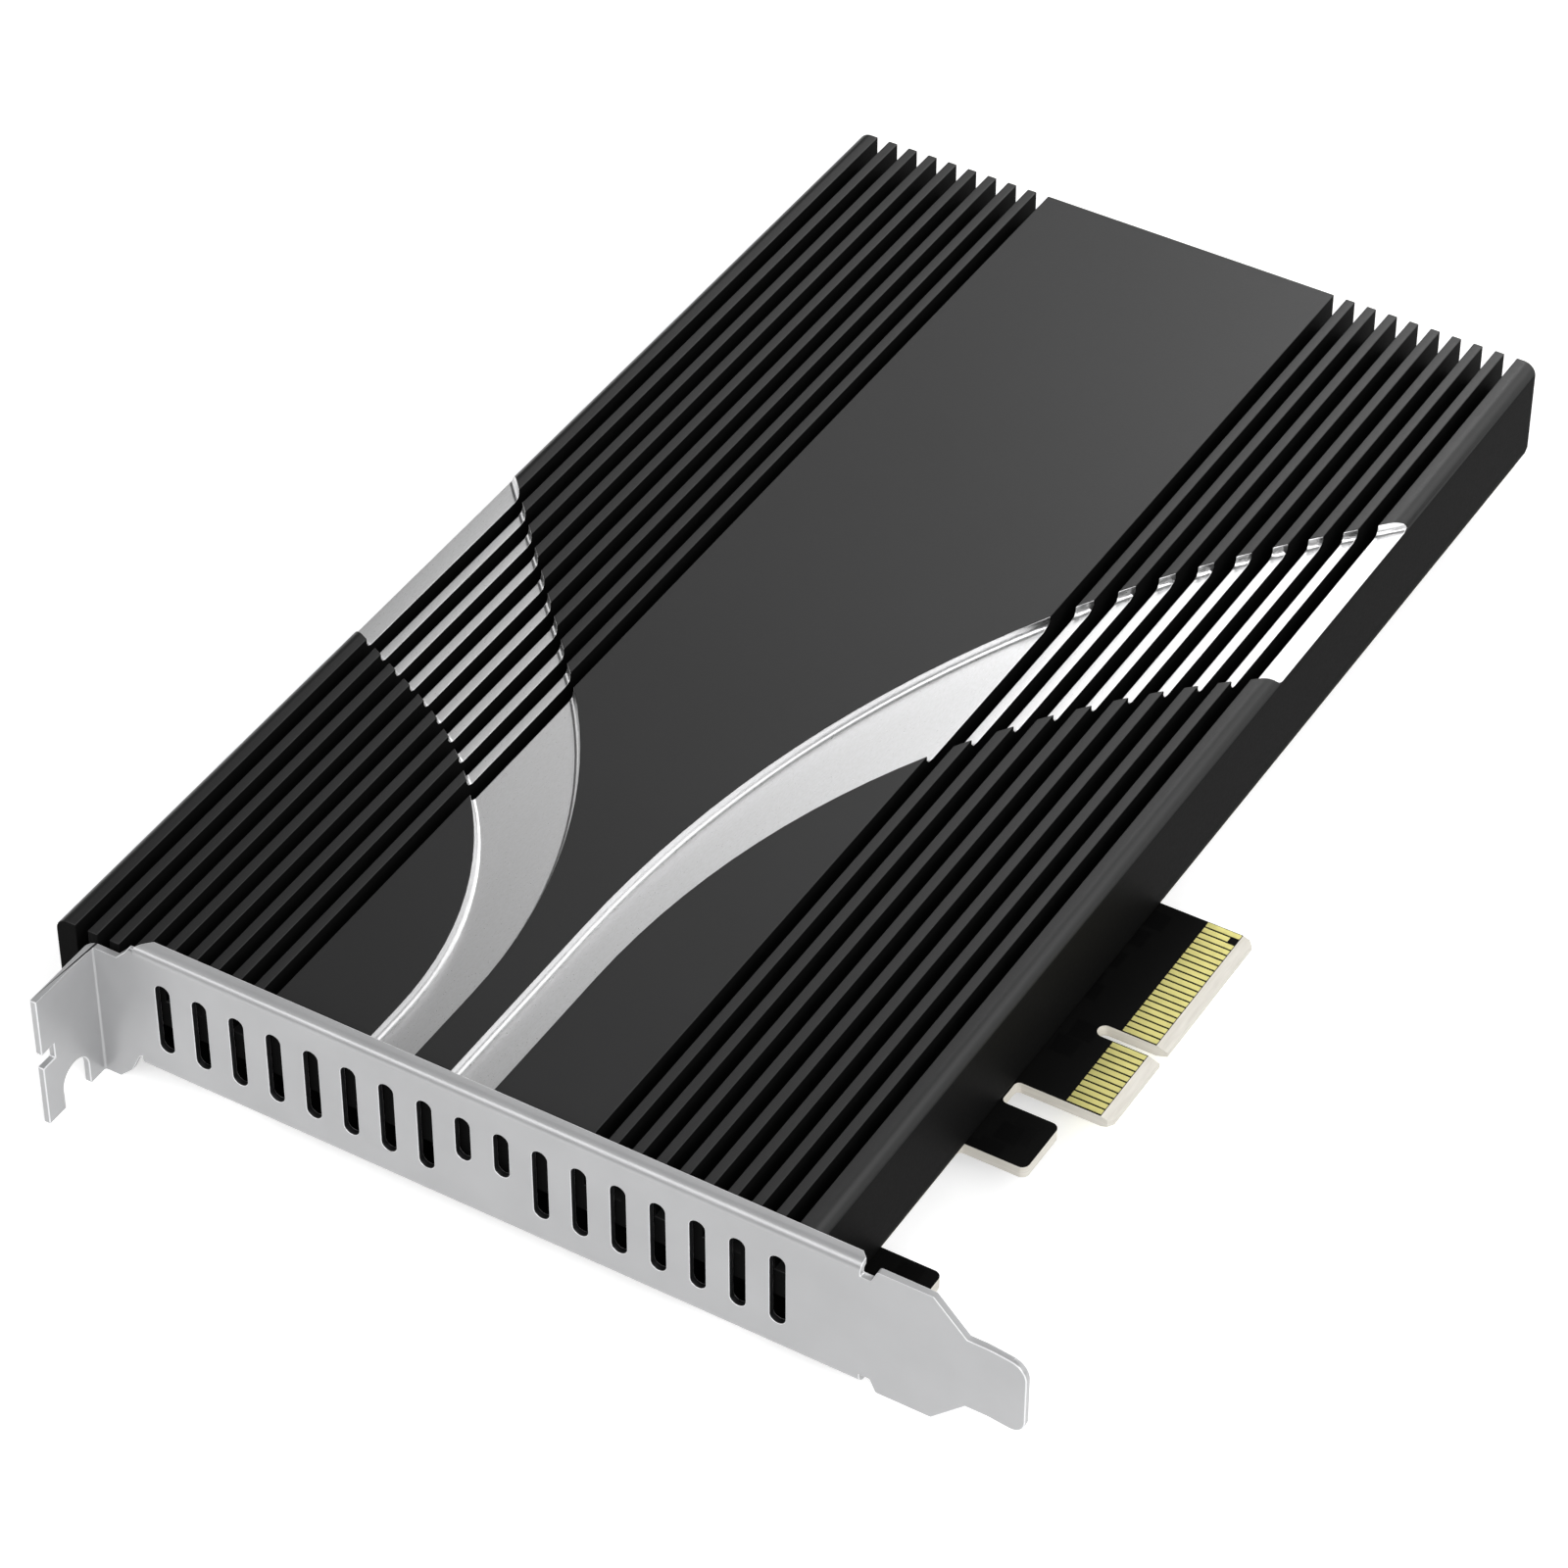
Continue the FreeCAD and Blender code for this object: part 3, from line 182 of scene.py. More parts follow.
class Nodes:
    """A material's node tree, with short calls to add and join nodes."""

    def __init__(self, material):
        material.use_nodes = True
        self.tree = material.node_tree
        self.tree.nodes.clear()

    def give(self, socket, value):
        """Join the value to the socket if it is another node's, and set it otherwise."""
        if isinstance(value, bpy.types.NodeSocket):
            self.tree.links.new(value, socket)
        else:
            socket.default_value = value

    def add(self, kind, inputs=None, **settings):
        """New node of that kind, with values or other nodes' outputs for its inputs."""
        node = self.tree.nodes.new("ShaderNode" + kind)
        for name, value in settings.items():
            setattr(node, name, value)
        for name, value in (inputs or {}).items():
            self.give(node.inputs[name], value)
        return node

    def combine(self, operation, first, second):
        """Two values worked into one."""
        return self.add("Math", {0: first, 1: second}, operation=operation).outputs[0]

    def places(self, stretch=NEUTRAL):
        """The point's place on the card in millimetres, stretched along an axis if asked."""
        coordinates = self.add("TexCoord").outputs["Object"]
        scale = tuple(s / MM for s in stretch)
        return self.add("Mapping", {"Vector": coordinates, "Scale": scale}).outputs[0]

    def noise(self, scale, detail=2.0, roughness=0.5, stretch=NEUTRAL):
        """Noise with that many features to the millimetre."""
        inputs = {"Scale": scale, "Detail": detail, "Roughness": roughness}
        return self.add("TexNoise", {"Vector": self.places(stretch), **inputs}).outputs["Fac"]

    def spread(self, fac, low, high, from_low=0.3, from_high=0.7):
        """Low to high as fac runs between two values, by default the middle of a noise."""
        source = {"Value": fac, "From Min": from_low, "From Max": from_high}
        return self.add("MapRange", {**source, "To Min": low, "To Max": high}).outputs[0]

    def blend(self, fac, first, second):
        """Colour that goes from first to second with fac."""
        node = self.add("Mix", data_type="RGBA")
        for number, value in ((0, fac), (6, first), (7, second)):
            self.give(node.inputs[number], value)
        return node.outputs[2]

    def bump(self, height, distance):
        """Normal of a surface with relief of that depth in millimetres."""
        return self.add("Bump", {"Height": height, "Distance": distance * MM}).outputs[0]

    def close(self, shader):
        """End the material in that shader."""
        output = self.tree.nodes.new("ShaderNodeOutputMaterial")
        self.tree.links.new(shader.outputs[0], output.inputs["Surface"])

    def surface(self, inputs):
        """One shader with those inputs as the whole material."""
        self.close(self.add("BsdfPrincipled", inputs))


def grey(level, tint=NEUTRAL):
    """Colour of that linear level."""
    return tuple(level * t for t in tint) + (1.0,)


def scaled(colour, factor=1.0):
    """Colour made darker or lighter."""
    return tuple(c * factor for c in colour) + (1.0,)


def new_material(name):
    material = bpy.data.materials.new(name)
    return material, Nodes(material)


def black_anodised():
    """Bead-blasted aluminium dyed black, glossier on top; the sides duller, with a darker colour
    and gloss as painted shade.
    """
    material, book = new_material("black_anodised")
    grain = book.noise(3.0, detail=3.0, roughness=0.6)
    drift = book.noise(0.04)
    facing = book.add("TexCoord").outputs["Normal"]
    up = book.add("SeparateXYZ", {0: facing}).outputs["Z"]
    # Facing mask, 1 on top and 0 down the sides, where it paints shade into the colour and the
    # gloss
    satin_and_shade = book.spread(up, 0, 1, *UPWARD)
    dye = book.blend(book.spread(drift, 0, 1), grey(DYE_LOW), grey(DYE_HIGH, COOL_DYE))
    rough = book.spread(satin_and_shade, ROUGH_SIDES, ROUGH_TOP, 0, 1)
    uneven = book.spread(grain, -ROUGH_GRAIN, ROUGH_GRAIN)
    book.surface({
        "Base Color": book.blend(satin_and_shade, grey(SIDES_SHADE), dye),
        "Roughness": book.combine("ADD", rough, uneven),
        "Specular IOR Level": book.spread(satin_and_shade, GLOSS_SIDES, GLOSS_TOP, 0, 1),
        "Normal": book.bump(grain, 0.006),
    })
    return material


def milled_aluminium(name, level):
    """Bare metal left by the cutter, with fine tool lines along the card."""
    material, book = new_material(name)
    lines = book.noise(6.0, stretch=ALONG_CARD)
    grain = book.noise(5.0, detail=3.0)
    darker = grey(level * MILLED_DARKER)
    book.surface({
        "Base Color": book.blend(book.spread(lines, 0, 1), darker, grey(level, COOL_METAL)),
        "Metallic": 1.0,
        "Roughness": book.spread(grain, *MILLED_ROUGH),
        "Normal": book.bump(lines, 0.004),
    })
    return material


def plated_steel(name, low, high):
    """Nickel-plated sheet with a faint grain along the bracket."""
    material, book = new_material(name)
    grain = book.noise(1.2, detail=3.0, stretch=ALONG_BRACKET)
    cloud = book.spread(book.noise(0.12), 0, 1)
    book.surface({
        "Base Color": book.blend(cloud, grey(low, COOL_STEEL), grey(high, COOL_STEEL)),
        "Metallic": STEEL_METALLIC,
        "Roughness": book.spread(grain, *STEEL_ROUGH),
        "Normal": book.bump(grain, 0.001),
    })
    return material


def board_mask():
    """Matt black solder mask, slightly raised where copper runs beneath it."""
    material, book = new_material("board_mask")
    grain = book.noise(2.5, detail=3.0)
    cells = {"Vector": book.places(POUR_SCALE), "Scale": 1.0}
    copper = book.add("TexVoronoi", cells, distance="CHEBYCHEV").outputs["Distance"]
    pours = book.spread(copper, 0, 1, *POUR_EDGES)
    book.surface({
        "Base Color": book.blend(pours, grey(MASK_LOW), grey(MASK_HIGH, WARM_MASK)),
        "Roughness": book.spread(grain, *MASK_ROUGH),
        "Specular IOR Level": MASK_GLOSS,
        "Normal": book.bump(book.combine("ADD", grain, pours), 0.012),
    })
    return material


def board_laminate():
    """Cut edge of the glass and resin laminate, in thin cream layers."""
    material, book = new_material("board_laminate")
    layers = book.noise(1.6, stretch=IN_LAYERS)
    fibres = book.noise(7.0)
    book.surface({
        "Base Color": book.blend(book.spread(layers, 0, 1), LAMINATE_LOW, LAMINATE_HIGH),
        "Roughness": book.spread(fibres, *LAMINATE_ROUGH),
        "Normal": book.bump(fibres, 0.02),
    })
    return material


def plain_metal(name, colour, rough_low, rough_high):
    """Metal with a fine grain and slight clouding."""
    material, book = new_material(name)
    grain = book.noise(2.0, detail=3.0)
    cloud = book.spread(book.noise(0.35), 0, 1)
    book.surface({
        "Base Color": book.blend(cloud, scaled(colour, METAL_DARKER), scaled(colour)),
        "Metallic": 1.0,
        "Roughness": book.spread(grain, rough_low, rough_high),
        "Normal": book.bump(grain, 0.004),
    })
    return material


def moulded(name, colour, rough_low, rough_high, relief=0.01):
    """Moulded, pressed or fired part with a fine grain."""
    material, book = new_material(name)
    grain = book.noise(3.0, detail=3.0)
    cloud = book.spread(book.noise(0.5), 0, 1)
    book.surface({
        "Base Color": book.blend(cloud, scaled(colour), scaled(colour, MOULDED_LIGHTER)),
        "Roughness": book.spread(grain, rough_low, rough_high),
        "Normal": book.bump(grain, relief),
    })
    return material


# Materials, most of them as a colour with its lowest and highest roughness
# One milled finish at two levels: the left channel darker as painted shade, the right lighter as
# painted light
MILLED_LEFT_SHADED = milled_aluminium("milled_left_shaded", 0.79)
MILLED_RIGHT_LIT = milled_aluminium("milled_right_lit", 0.88)
ANODISED = black_anodised()
STEEL = plated_steel("plated_steel", 0.455, 0.485)
# Lighter steel for the bracket's broken edges: painted highlight
EDGE_HIGHLIGHT = plated_steel("edge_highlight", 0.82, 0.88)
MASK = board_mask()
LAMINATE = board_laminate()
GOLD = plain_metal("contact_gold", (0.86, 0.80, 0.30), 0.32, 0.42)
# Dark colour of the vents' walls: painted shade
VENT_WALL_SHADE = plain_metal("vent_wall_shade", (0.13, 0.13, 0.135), 0.4, 0.5)
TIN = plain_metal("screw_steel", (0.55, 0.55, 0.56), 0.25, 0.4)
BRASS = plain_metal("standoff_brass", (0.78, 0.66, 0.42), 0.3, 0.42)
TERMINAL = plain_metal("terminal_tin", (0.62, 0.62, 0.62), 0.35, 0.5)
POLYMER = moulded("socket_polymer", (0.02, 0.02, 0.021), 0.42, 0.52)
RUBBER = moulded("pad_rubber", (0.25, 0.27, 0.30), 0.7, 0.85)
CHOKE = moulded("choke_body", (0.05, 0.05, 0.053), 0.5, 0.65, relief=0.02)
EPOXY = moulded("chip_epoxy", (0.018, 0.018, 0.019), 0.45, 0.6)
TANK = moulded("tank_case", (0.55, 0.36, 0.09), 0.4, 0.5)
CERAMIC = moulded("ceramic", (0.42, 0.31, 0.2), 0.45, 0.6)
LENS = moulded("light_lens", (0.75, 0.78, 0.72), 0.15, 0.25)

# Nodes that are one material all over
PLAIN_NODES = {
    "edge_contacts_component": GOLD, "edge_contacts_solder": GOLD, "socket_contacts": GOLD,
    "heatsink_screws": TIN, "bracket_screws": TIN, "drive_screw": TIN,
    "socket_housing": POLYMER, "socket_anchors": TERMINAL, "drive_standoffs": BRASS,
    "drive_pad": RUBBER, "inductor": CHOKE, "regulator": EPOXY, "resistors": EPOXY,
    "clock_buffer": EPOXY, "input_capacitors": TANK, "output_capacitors": TANK,
    "coupling_capacitors": CERAMIC, "solder_side_capacitors": CERAMIC, "activity_light": LENS,
}

# Soldered parts: case, slot, and the shares of length, width and height that each metal end takes
CHIPS = {
    "coupling_capacitors": (CERAMIC, "ceramic", 0.24, 1, 1),
    "solder_side_capacitors": (CERAMIC, "ceramic", 0.24, 1, 1),
    "resistors": (EPOXY, "chip_epoxy", 0.2, 1, 1),
    "activity_light": (LENS, "light_lens", 0.22, 1, 0.5),
    "input_capacitors": (TANK, "tank_case", 0.16, 0.6, 0.55),
    "output_capacitors": (TANK, "tank_case", 0.16, 0.6, 0.55),
    "inductor": (CHOKE, "choke_body", 0.14, 0.55, 0.6),
}


def channel_line(y, bend, radius, turn, side):
    """The y of a channel's edge at a given x: straight, then round, then straight at an angle."""
    angle = math.radians(turn)
    end_x = bend + radius * math.sin(angle)
    end_y = y + side * radius * (1 - math.cos(angle))

    def at(x):
        if x <= bend:
            return y
        if x <= end_x:
            return y + side * (radius - math.sqrt(radius * radius - (x - bend) ** 2))
        return end_y + side * (x - end_x) * math.tan(angle)

    return at


# The two curved channels' edges, as part.py cuts them: y, start of the bend, radius, turn and side
LEFT_NEAR = channel_line(51.35, 14.9, 75.35, 42.9, 1)
LEFT_FAR = channel_line(57.0, 8.9, 50.4, 64.8, 1)
RIGHT_NEAR = channel_line(46.53, 30.3, 156.5, 41.6, -1)
RIGHT_FAR = channel_line(41.0, 23.9, 107.1, 65.2, -1)


def sink_face(face):
    """0 for the dyed faces, 1 and 2 for what the left and right channels left bare."""
    centre = face.center / MM
    on_top = face.normal.z > SQUARE and centre.z > SINK_TOP - TOP_SLACK
    if on_top or centre.z < CHANNEL_FLOOR - FACE_SLACK:
        return 0
    if abs(face.normal.x) > END_SQUARE and centre.x < SINK_START + FACE_SLACK:
        return 0
    if LEFT_NEAR(centre.x) - EDGE_SLACK < centre.y < LEFT_FAR(centre.x) + EDGE_SLACK:
        return 1
    if RIGHT_FAR(centre.x) - EDGE_SLACK < centre.y < RIGHT_NEAR(centre.x) + EDGE_SLACK:
        return 2
    return 0


def board_face(face):
    """0 for the masked sides, 1 for the cut edges and the bevels of the tongue."""
    return 0 if abs(face.normal.z) > SQUARE else 1


def bracket_face(face):
    """0 for the plated sheet, 1 for the punched walls of its vents, painted dark as shade."""
    centre = face.center / MM
    in_plate = SHEET_LOW < centre.x < SHEET_HIGH and abs(face.normal.x) < ALONG
    in_vents = VENTS_LOW < centre.z < VENTS_HIGH and VENTS_FIRST < centre.y < VENTS_LAST
    return 1 if in_plate and in_vents else 0


def paint(node, materials, choose=None):
    """Give a CAD node its materials, and each of its faces the one that choose names by number."""
    piece = nodes[node]
    piece.data.materials.clear()
    for material in materials:
        piece.data.materials.append(material)
    for face in piece.data.polygons:
        face.material_index = choose(face) if choose else 0


def add_object(name, data):
    """New object in the scene."""
    made = bpy.data.objects.new(name, data)
    bpy.context.collection.objects.link(made)
    return made


def stand_for(piece, node):
    """Have a piece ride with the card and stand for a CAD node."""
    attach(piece, "root")
    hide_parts(node)


def merged_form(node):
    """A CAD node's mesh with the points that share a place made one."""
    form = bmesh.new()
    form.from_mesh(nodes[node].data)
    bmesh.ops.remove_doubles(form, verts=form.verts, dist=SAME_PLACE)
    return form


def edge_weights(form, width):
    """How much of the width each sharp edge is broken by: less where short edges meet it."""
    form.verts.ensure_lookup_table()
    sharp = [edge for edge in form.edges if edge.calc_face_angle(0.0) > SHARP_ANGLE]
    shortest = {}
    for edge in sharp:
        for vert in edge.verts:
            shortest[vert.index] = min(shortest.get(vert.index, 1.0), edge.calc_length())
    weights = {}
    for edge in sharp:
        ends = tuple(sorted(vert.index for vert in edge.verts))
        room = SHORT_SHARE * min(shortest[end] for end in ends)
        weights[ends] = min(1.0, room / width)
    return weights


def calm_corners(piece, surface):
    """Leave unbroken the edges of a corner where the bevel throws points off the surface."""
    mesh = piece.data
    shares = mesh.attributes["bevel_weight_edge"]
    for _ in range(CALM_ROUNDS):
        made = piece.evaluated_get(bpy.context.evaluated_depsgraph_get()).to_mesh()
        points = [vert.co.copy() for vert in made.vertices]
        off = {i for i, point in enumerate(points) if surface.find_nearest(point)[3] > STRAY * MM}
        places = [
            points[end] for edge in made.edges for end in edge.vertices
            if off.intersection(edge.vertices) and end not in off
        ]
        if not places:
            return
        for edge in mesh.edges:
            ends = [mesh.vertices[i].co for i in edge.vertices]
            if any((end - place).length < CORNER_REACH * MM for end in ends for place in places):
                shares.data[edge.index].value = 0.0
        mesh.update()


def dress(node, edge_material=-1):
    """Copy of a painted CAD node with its edges broken, in the faces' material or another."""
    source = nodes[node]
    form = merged_form(node)
    bmesh.ops.dissolve_limit(
        form, angle_limit=FLAT_ANGLE, verts=form.verts, edges=form.edges, delimit={"MATERIAL"},
    )
    corners = [vert.co.copy() for vert in form.verts]
    faces = [[vert.index for vert in face.verts] for face in form.faces]
    numbers = [face.material_index for face in form.faces]
    weights = edge_weights(form, BROKEN_EDGE * MM)
    surface = BVHTree.FromBMesh(form)
    form.free()

    mesh = bpy.data.meshes.new(node + "_dressed")
    mesh.from_pydata(corners, [], faces)
    for material in source.data.materials:
        mesh.materials.append(material)
    for face, number in zip(mesh.polygons, numbers):
        face.material_index = number
        face.use_smooth = True
    shares = mesh.attributes.new("bevel_weight_edge", "FLOAT", "EDGE")
    for edge in mesh.edges:
        shares.data[edge.index].value = weights.get(tuple(sorted(edge.vertices)), 0.0)

    piece = add_object(node + "_dressed", mesh)
    bevel = piece.modifiers.new("broken_edges", "BEVEL")
    bevel.width = BROKEN_EDGE * MM
    bevel.segments = BROKEN_STEPS
    bevel.material = edge_material
    bevel.limit_method = "WEIGHT"
    bevel.use_clamp_overlap = False
    calm_corners(piece, surface)
    level = piece.modifiers.new("level_faces", "WEIGHTED_NORMAL")
    level.mode = "FACE_AREA"
    level.keep_sharp = False
    stand_for(piece, node)


def solid_boxes(node):
    """Lowest and highest corner of every solid in a CAD node, in order along the card."""
    form = merged_form(node)
    boxes, seen = [], set()
    for first in form.verts:
        if first in seen:
            continue
        seen.add(first)
        group = [first]
        for vert in group:
            for edge in vert.link_edges:
                other = edge.other_vert(vert)
                if other not in seen:
                    seen.add(other)
                    group.append(other)
        low = Vector([min(vert.co[k] for vert in group) for k in range(3)])
        high = Vector([max(vert.co[k] for vert in group) for k in range(3)])
        boxes.append((low, high))
    form.free()
    return sorted(boxes, key=lambda box: (round(box[0].x, 5), round(box[0].y, 5)))


def detail(node, form, materials, slot):
    """Finer piece made of that form, in place of a CAD node."""
    bmesh.ops.recalc_face_normals(form, faces=form.faces)
    mesh = bpy.data.meshes.new(node + "_detailed")
    form.to_mesh(mesh)
    form.free()
    for material in materials:
        mesh.materials.append(material)
    for face in mesh.polygons:
        face.use_smooth = True
    mesh.set_sharp_from_angle(angle=SMOOTH_ANGLE)
    stand_for(add_object(node + "_detailed", mesh), node)


class Lathe:
    """Turned work about an upright axis, with heights in millimetres from a seat."""

    def __init__(self, form, centre, seat, up):
        self.form, self.centre, self.seat, self.up = form, centre, seat, up

    def point(self, radius, angle, height):
        x = self.centre.x + radius * math.cos(angle) * MM
        y = self.centre.y + radius * math.sin(angle) * MM
        return self.form.verts.new((x, y, self.seat + self.up * height * MM))

    def row(self, radius, height):
        """Ring of points at a radius, or one point on the axis."""
        if radius == 0:
            return [self.point(0, 0, height)]
        return [self.point(radius, math.tau * i / ROUND_SIDES, height) for i in range(ROUND_SIDES)]

    def turn(self, profile, closed=False):
        """Skin over rows of points, one for each radius and height of the profile."""
        rows = [self.row(radius, height) for radius, height in profile]
        following = rows[1:] + rows[:1] if closed else rows[1:]
        for first, second in zip(rows, following):
            for i in range(ROUND_SIDES):
                j = (i + 1) % ROUND_SIDES
                ring = [first[k % len(first)] for k in (i, j)]
                ring += [second[k % len(second)] for k in (j, i)]
                self.form.faces.new(list(dict.fromkeys(ring)))
        return rows

    def thread(self, start, end, core, crest, pitch):
        """Helical ridge that runs out at both ends."""
        steps = int(abs(end - start) / pitch * THREAD_SIDES)
        root, reach = core - THREAD_ROOT, THREAD_HALF * pitch
        rows = []
        for i in range(steps + 1):
            share = min(1, i / THREAD_SIDES, (steps - i) / THREAD_SIDES)
            angle, height = math.tau * i / THREAD_SIDES, start + (end - start) * i / steps
            rows.append([
                self.point(root, angle, height - reach),
                self.point(core + (crest - core) * share, angle, height),
                self.point(root, angle, height + reach),
            ])
        for first, second in zip(rows, rows[1:]):
            for k in range(3):
                self.form.faces.new((first[k], first[k - 1], second[k - 1], second[k]))
        self.form.faces.new(rows[0])
        self.form.faces.new(rows[-1])

    def cross_outline(self, arm, half, height):
        """Points of a cross with wings of that reach and half width, in order round it."""
        wing = ((arm, -half), (arm, half), (half, half))
        corners = [
            (x * c - y * s, x * s + y * c)
            for c, s in ((1, 0), (0, 1), (-1, 0), (0, -1)) for x, y in wing
        ]
        return [self.point(math.hypot(x, y), math.atan2(y, x), height) for x, y in corners]

    def cross(self, ring, top, arm, half, depth):
        """Driver recess in the flat inside a ring, with wings that run in towards its foot."""
        rim = self.cross_outline(arm, half, top)
        foot = self.cross_outline(arm * RECESS_FOOT_ARM, half * RECESS_FOOT_HALF, top - depth)
        for i in range(len(rim)):
            self.form.faces.new((rim[i - 1], rim[i], foot[i], foot[i - 1]))
        self.form.faces.new(foot)
        edges = [
            self.form.edges.get((loop[i - 1], loop[i]))
            for loop in (ring, rim) for i in range(len(loop))
        ]
        bmesh.ops.triangle_fill(self.form, edges=edges, use_beauty=True)


def turned_screws(node, head_down, head, height, edge, crest, core, pitch, arm, half, depth):
    """Pan-headed cross-recessed screws, each in the place of its CAD solid."""
    form = bmesh.new()
    angles = [math.pi / 2 * i / EDGE_STEPS for i in range(EDGE_STEPS + 1)]
    rounded = [
        (head - edge + edge * math.sin(a), height - edge + edge * math.cos(a)) for a in angles
    ]
    for low, high in solid_boxes(node):
        seat = low.z + height * MM if head_down else high.z - height * MM
        length = (high.z - seat if head_down else seat - low.z) / MM
        lathe = Lathe(form, (low + high) / 2, seat, -1 if head_down else 1)
        shank = [(core, 0), (core, TIP_LENGTH - length), (core - TIP_DEPTH, -length), (0, -length)]
        under = [(head, HEAD_BREAK), (head - HEAD_BREAK, 0)]
        rows = lathe.turn([(arm + RECESS_RIM, height)] + rounded + under + shank)
        lathe.thread(-THREAD_START, THREAD_SPARE - length, core, crest, pitch)
        lathe.cross(rows[0], height, arm, half, depth)
    detail(node, form, [TIN], "screw_steel")


def turned_standoffs(node):
    """Bushes with a shouldered foot in the board, bored for the drive's screw."""
    form = bmesh.new()
    for low, high in solid_boxes(node):
        top, foot = high.z / MM, low.z / MM
        Lathe(form, (low + high) / 2, 0.0, 1).turn([
            (BORE + BORE_TOP_BREAK, top), (BODY - BODY_BREAK, top), (BODY, top - BODY_BREAK),
            (BODY, 0), (FOOT, 0), (FOOT, foot + FOOT_BREAK), (FOOT - FOOT_BREAK, foot),
            (BORE + BORE_FOOT_BREAK, foot), (BORE, foot + BORE_FOOT_BREAK),
            (BORE, top - BORE_TOP_BREAK),
        ], closed=True)
    detail(node, form, [BRASS], "standoff_brass")


def add_block(form, low, high, rounding, number):
    """Box with rounded edges, in the material of that number."""
    spans = list(zip(low, high))
    corners = [form.verts.new((x, y, z)) for x in spans[0] for y in spans[1] for z in spans[2]]
    sides = (
        (0, 1, 3, 2), (4, 6, 7, 5), (0, 4, 5, 1), (2, 3, 7, 6), (0, 2, 6, 4), (1, 5, 7, 3),
    )
    faces = [form.faces.new([corners[i] for i in side]) for side in sides]
    for face in faces:
        face.material_index = number
    edges = list(dict.fromkeys(edge for face in faces for edge in face.edges))
    bmesh.ops.bevel(
        form, geom=edges, offset=rounding * MM, segments=2, profile=0.5, affect="EDGES",
    )


def ended_chips(node, case, slot, share, ends_width, ends_height):
    """Chips in a case between two metal ends, each in the place of its CAD solid."""
    form = bmesh.new()
    for low, high in solid_boxes(node):
        size = high - low
        along = 0 if size.x > size.y else 1
        across = 1 - along
        inset = Vector((CASE_INSET * MM,) * 3)
        if ends_width < 1:
            inset[across] = inset.z = 0.0
        add_block(form, low + inset, high - inset, CASE_EDGE, 0)
        on_top = low.z > IN_BOARD * MM
        spare = size[across] * (1 - ends_width) / 2
        for far_end in (False, True):
            end_low, end_high = low.copy(), high.copy()
            if far_end:
                end_low[along] = high[along] - size[along] * share
            else:
                end_high[along] = low[along] + size[along] * share
            end_low[across] += spare
            end_high[across] -= spare
            if on_top:
                end_high.z = low.z + size.z * ends_height
            else:
                end_low.z = high.z - size.z * ends_height
            add_block(form, end_low, end_high, END_EDGE, 1)
    detail(node, form, [case, TERMINAL], slot)


def add_floor():
    """Pale floor that keeps the card's shadow and looks white to the camera and in metal."""
    mesh = bpy.data.meshes.new("floor")
    level = cad_low[2] - FLOOR_GAP
    signs = ((-1, -1), (1, -1), (1, 1), (-1, 1))
    corners = [(x * FLOOR_REACH, y * FLOOR_REACH, level) for x, y in signs]
    mesh.from_pydata(corners, [], [(0, 1, 2, 3)])
    floor = add_object("floor", mesh)
    material, book = new_material("floor_paper")
    paper = book.add("BsdfDiffuse", {"Color": grey(FLOOR_PAPER)}).outputs[0]
    glow = book.add("Emission", {"Color": grey(1.0), "Strength": FLOOR_GLOW}).outputs[0]
    both = book.add("AddShader", {0: paper, 1: glow}).outputs[0]
    path = book.add("LightPath").outputs
    seen = book.combine("MAXIMUM", path["Is Camera Ray"], path["Is Glossy Ray"])
    clear = book.combine("MAXIMUM", seen, path["Is Transmission Ray"])
    book.close(book.add("MixShader", {0: clear, 1: paper, 2: both}))
    mesh.materials.append(material)


def add_world():
    """Even white room."""
    world = bpy.data.worlds.new("room")
    world.use_nodes = True
    bpy.context.scene.world = world
    tree = world.node_tree
    tree.nodes.clear()
    soft = tree.nodes.new("ShaderNodeBackground")
    soft.inputs["Color"].default_value = grey(1.0)
    soft.inputs["Strength"].default_value = ROOM_LIGHT
    output = tree.nodes.new("ShaderNodeOutputWorld")
    tree.links.new(soft.outputs[0], output.inputs["Surface"])


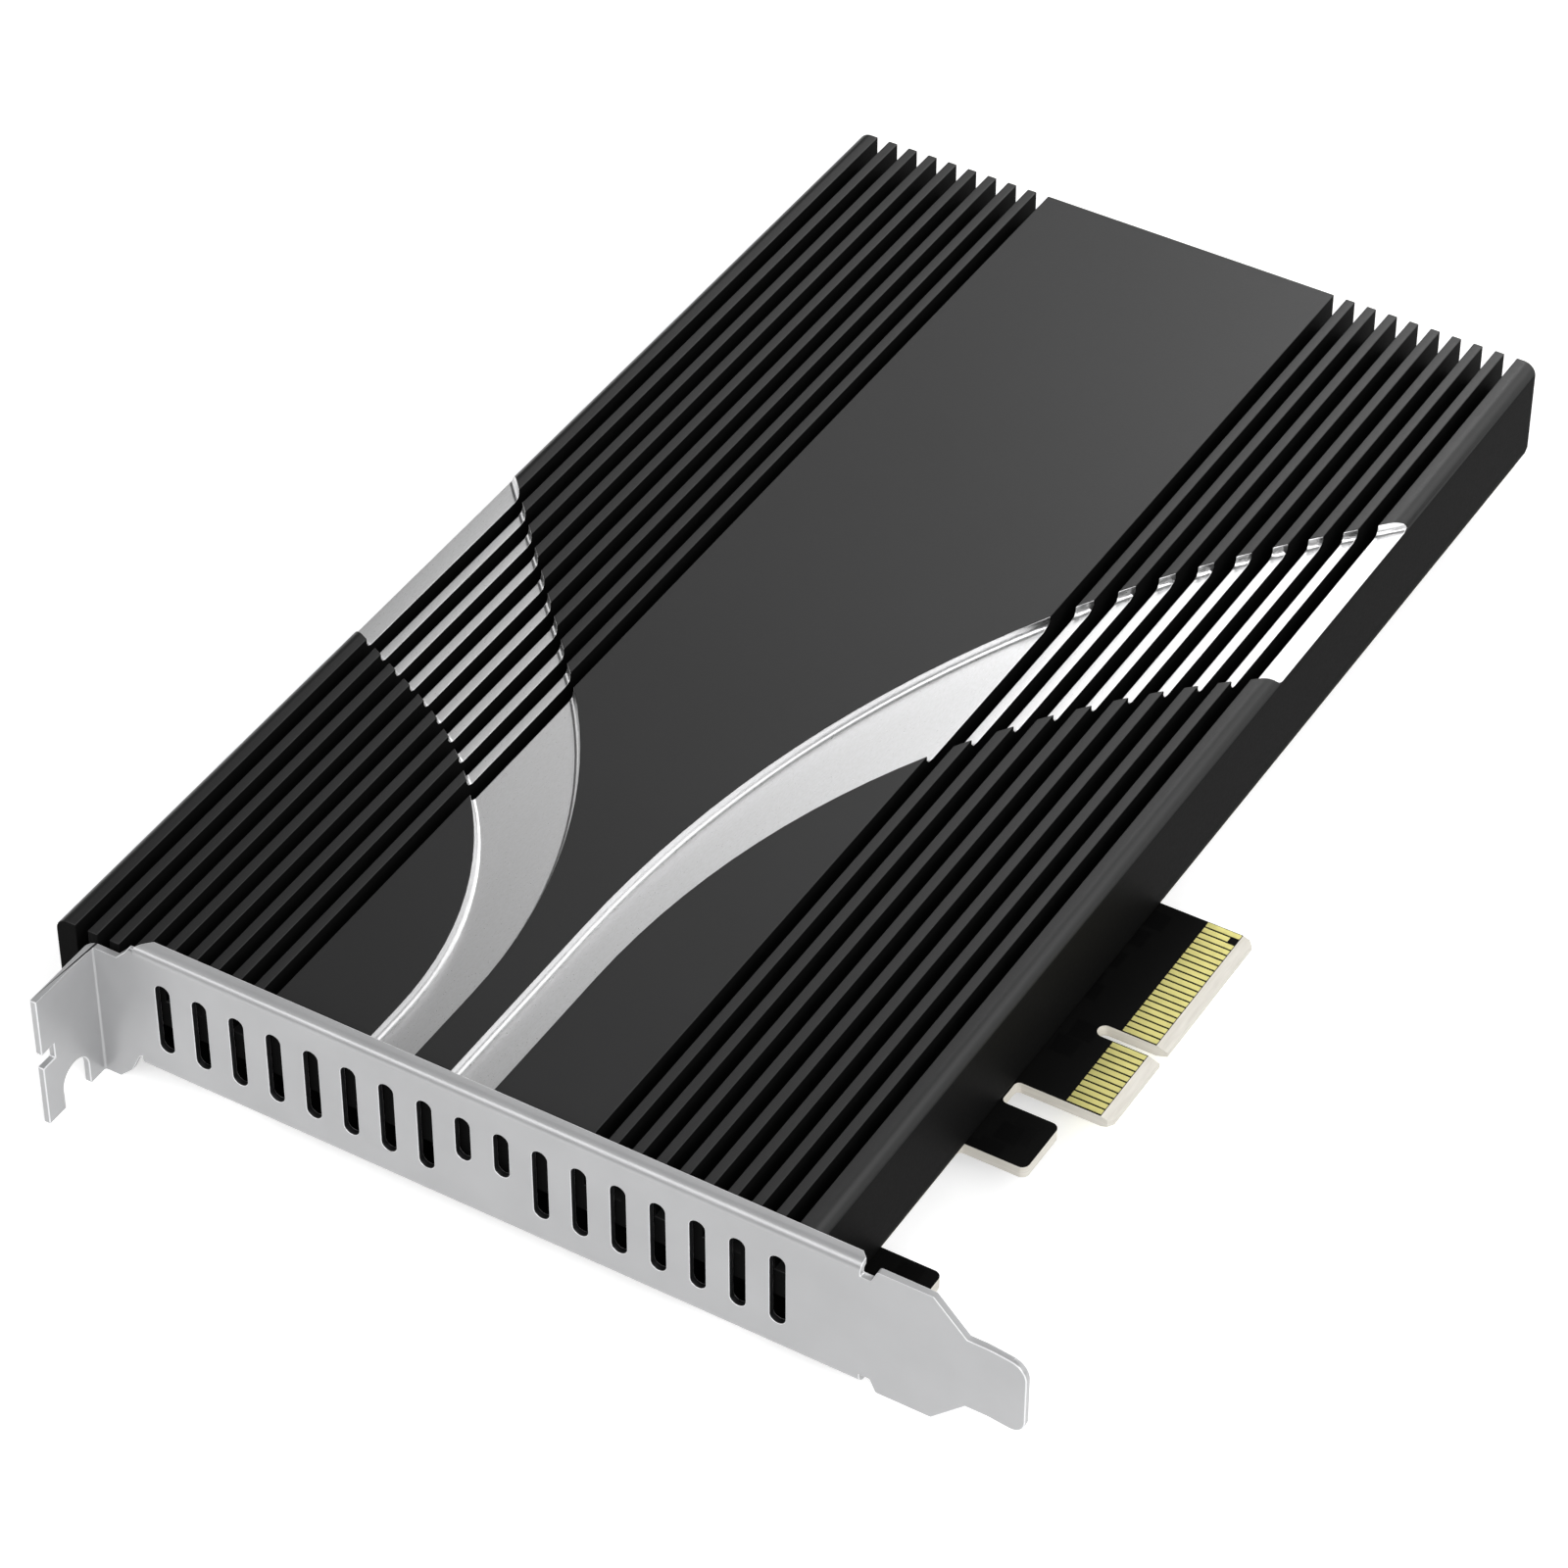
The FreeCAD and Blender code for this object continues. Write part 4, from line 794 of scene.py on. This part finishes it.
def add_lamp(name, azimuth, elevation, distance, width, height, power):
    """Soft box that faces the card's middle; azimuth 0 stands on +X, 90 on +Y."""
    light = bpy.data.lights.new(name, "AREA")
    light.shape = "RECTANGLE"
    light.size, light.size_y = width, height
    light.energy = power
    lamp = add_object(name, light)
    a, e = math.radians(azimuth), math.radians(elevation)
    target = (Vector(cad_low) + Vector(cad_high)) / 2
    away = Vector((math.cos(e) * math.cos(a), math.cos(e) * math.sin(a), math.sin(e)))
    lamp.location = target + away * distance
    lamp.rotation_euler = away.to_track_quat("Z", "Y").to_euler()


def add_camera():
    """Camera at the photograph's place and angle."""
    data = bpy.data.cameras.new("photo_camera")
    data.sensor_fit = "HORIZONTAL"
    data.sensor_width = SENSOR_WIDTH
    data.lens = FOCAL_PIXELS / PHOTO_WIDTH * SENSOR_WIDTH
    data.clip_start, data.clip_end = CLIP_NEAR, CLIP_FAR
    camera = add_object("photo_camera", data)
    forward = CAMERA_FORWARD.normalized()
    up = CAMERA_RIGHT.cross(forward).normalized()
    right = forward.cross(up)
    turn = Matrix((right, up, -forward)).transposed().to_4x4()
    camera.matrix_world = Matrix.Translation(CAMERA_PLACE) @ turn
    bpy.context.scene.camera = camera


# Looks of every node
paint("heatsink", [ANODISED, MILLED_LEFT_SHADED, MILLED_RIGHT_LIT], sink_face)
paint("bracket", [STEEL, VENT_WALL_SHADE, EDGE_HIGHLIGHT], bracket_face)
paint("circuit_board", [MASK, LAMINATE], board_face)
for name, material in PLAIN_NODES.items():
    paint(name, [material])

# Broken edges and small parts
dress("heatsink")
# The bracket's broken edges take the lighter steel as painted highlight
dress("bracket", edge_material=2)
turned_screws("heatsink_screws", True, **LARGE_SCREW)
turned_screws("bracket_screws", True, **LARGE_SCREW)
turned_screws("drive_screw", False, **SMALL_SCREW)
turned_standoffs("drive_standoffs")
for name, values in CHIPS.items():
    ended_chips(name, *values)

# Room, lamps and camera
add_floor()
add_world()
for name, place in LAMPS.items():
    add_lamp(name, *place)
add_camera()
bpy.context.scene.view_settings.view_transform = "Standard"
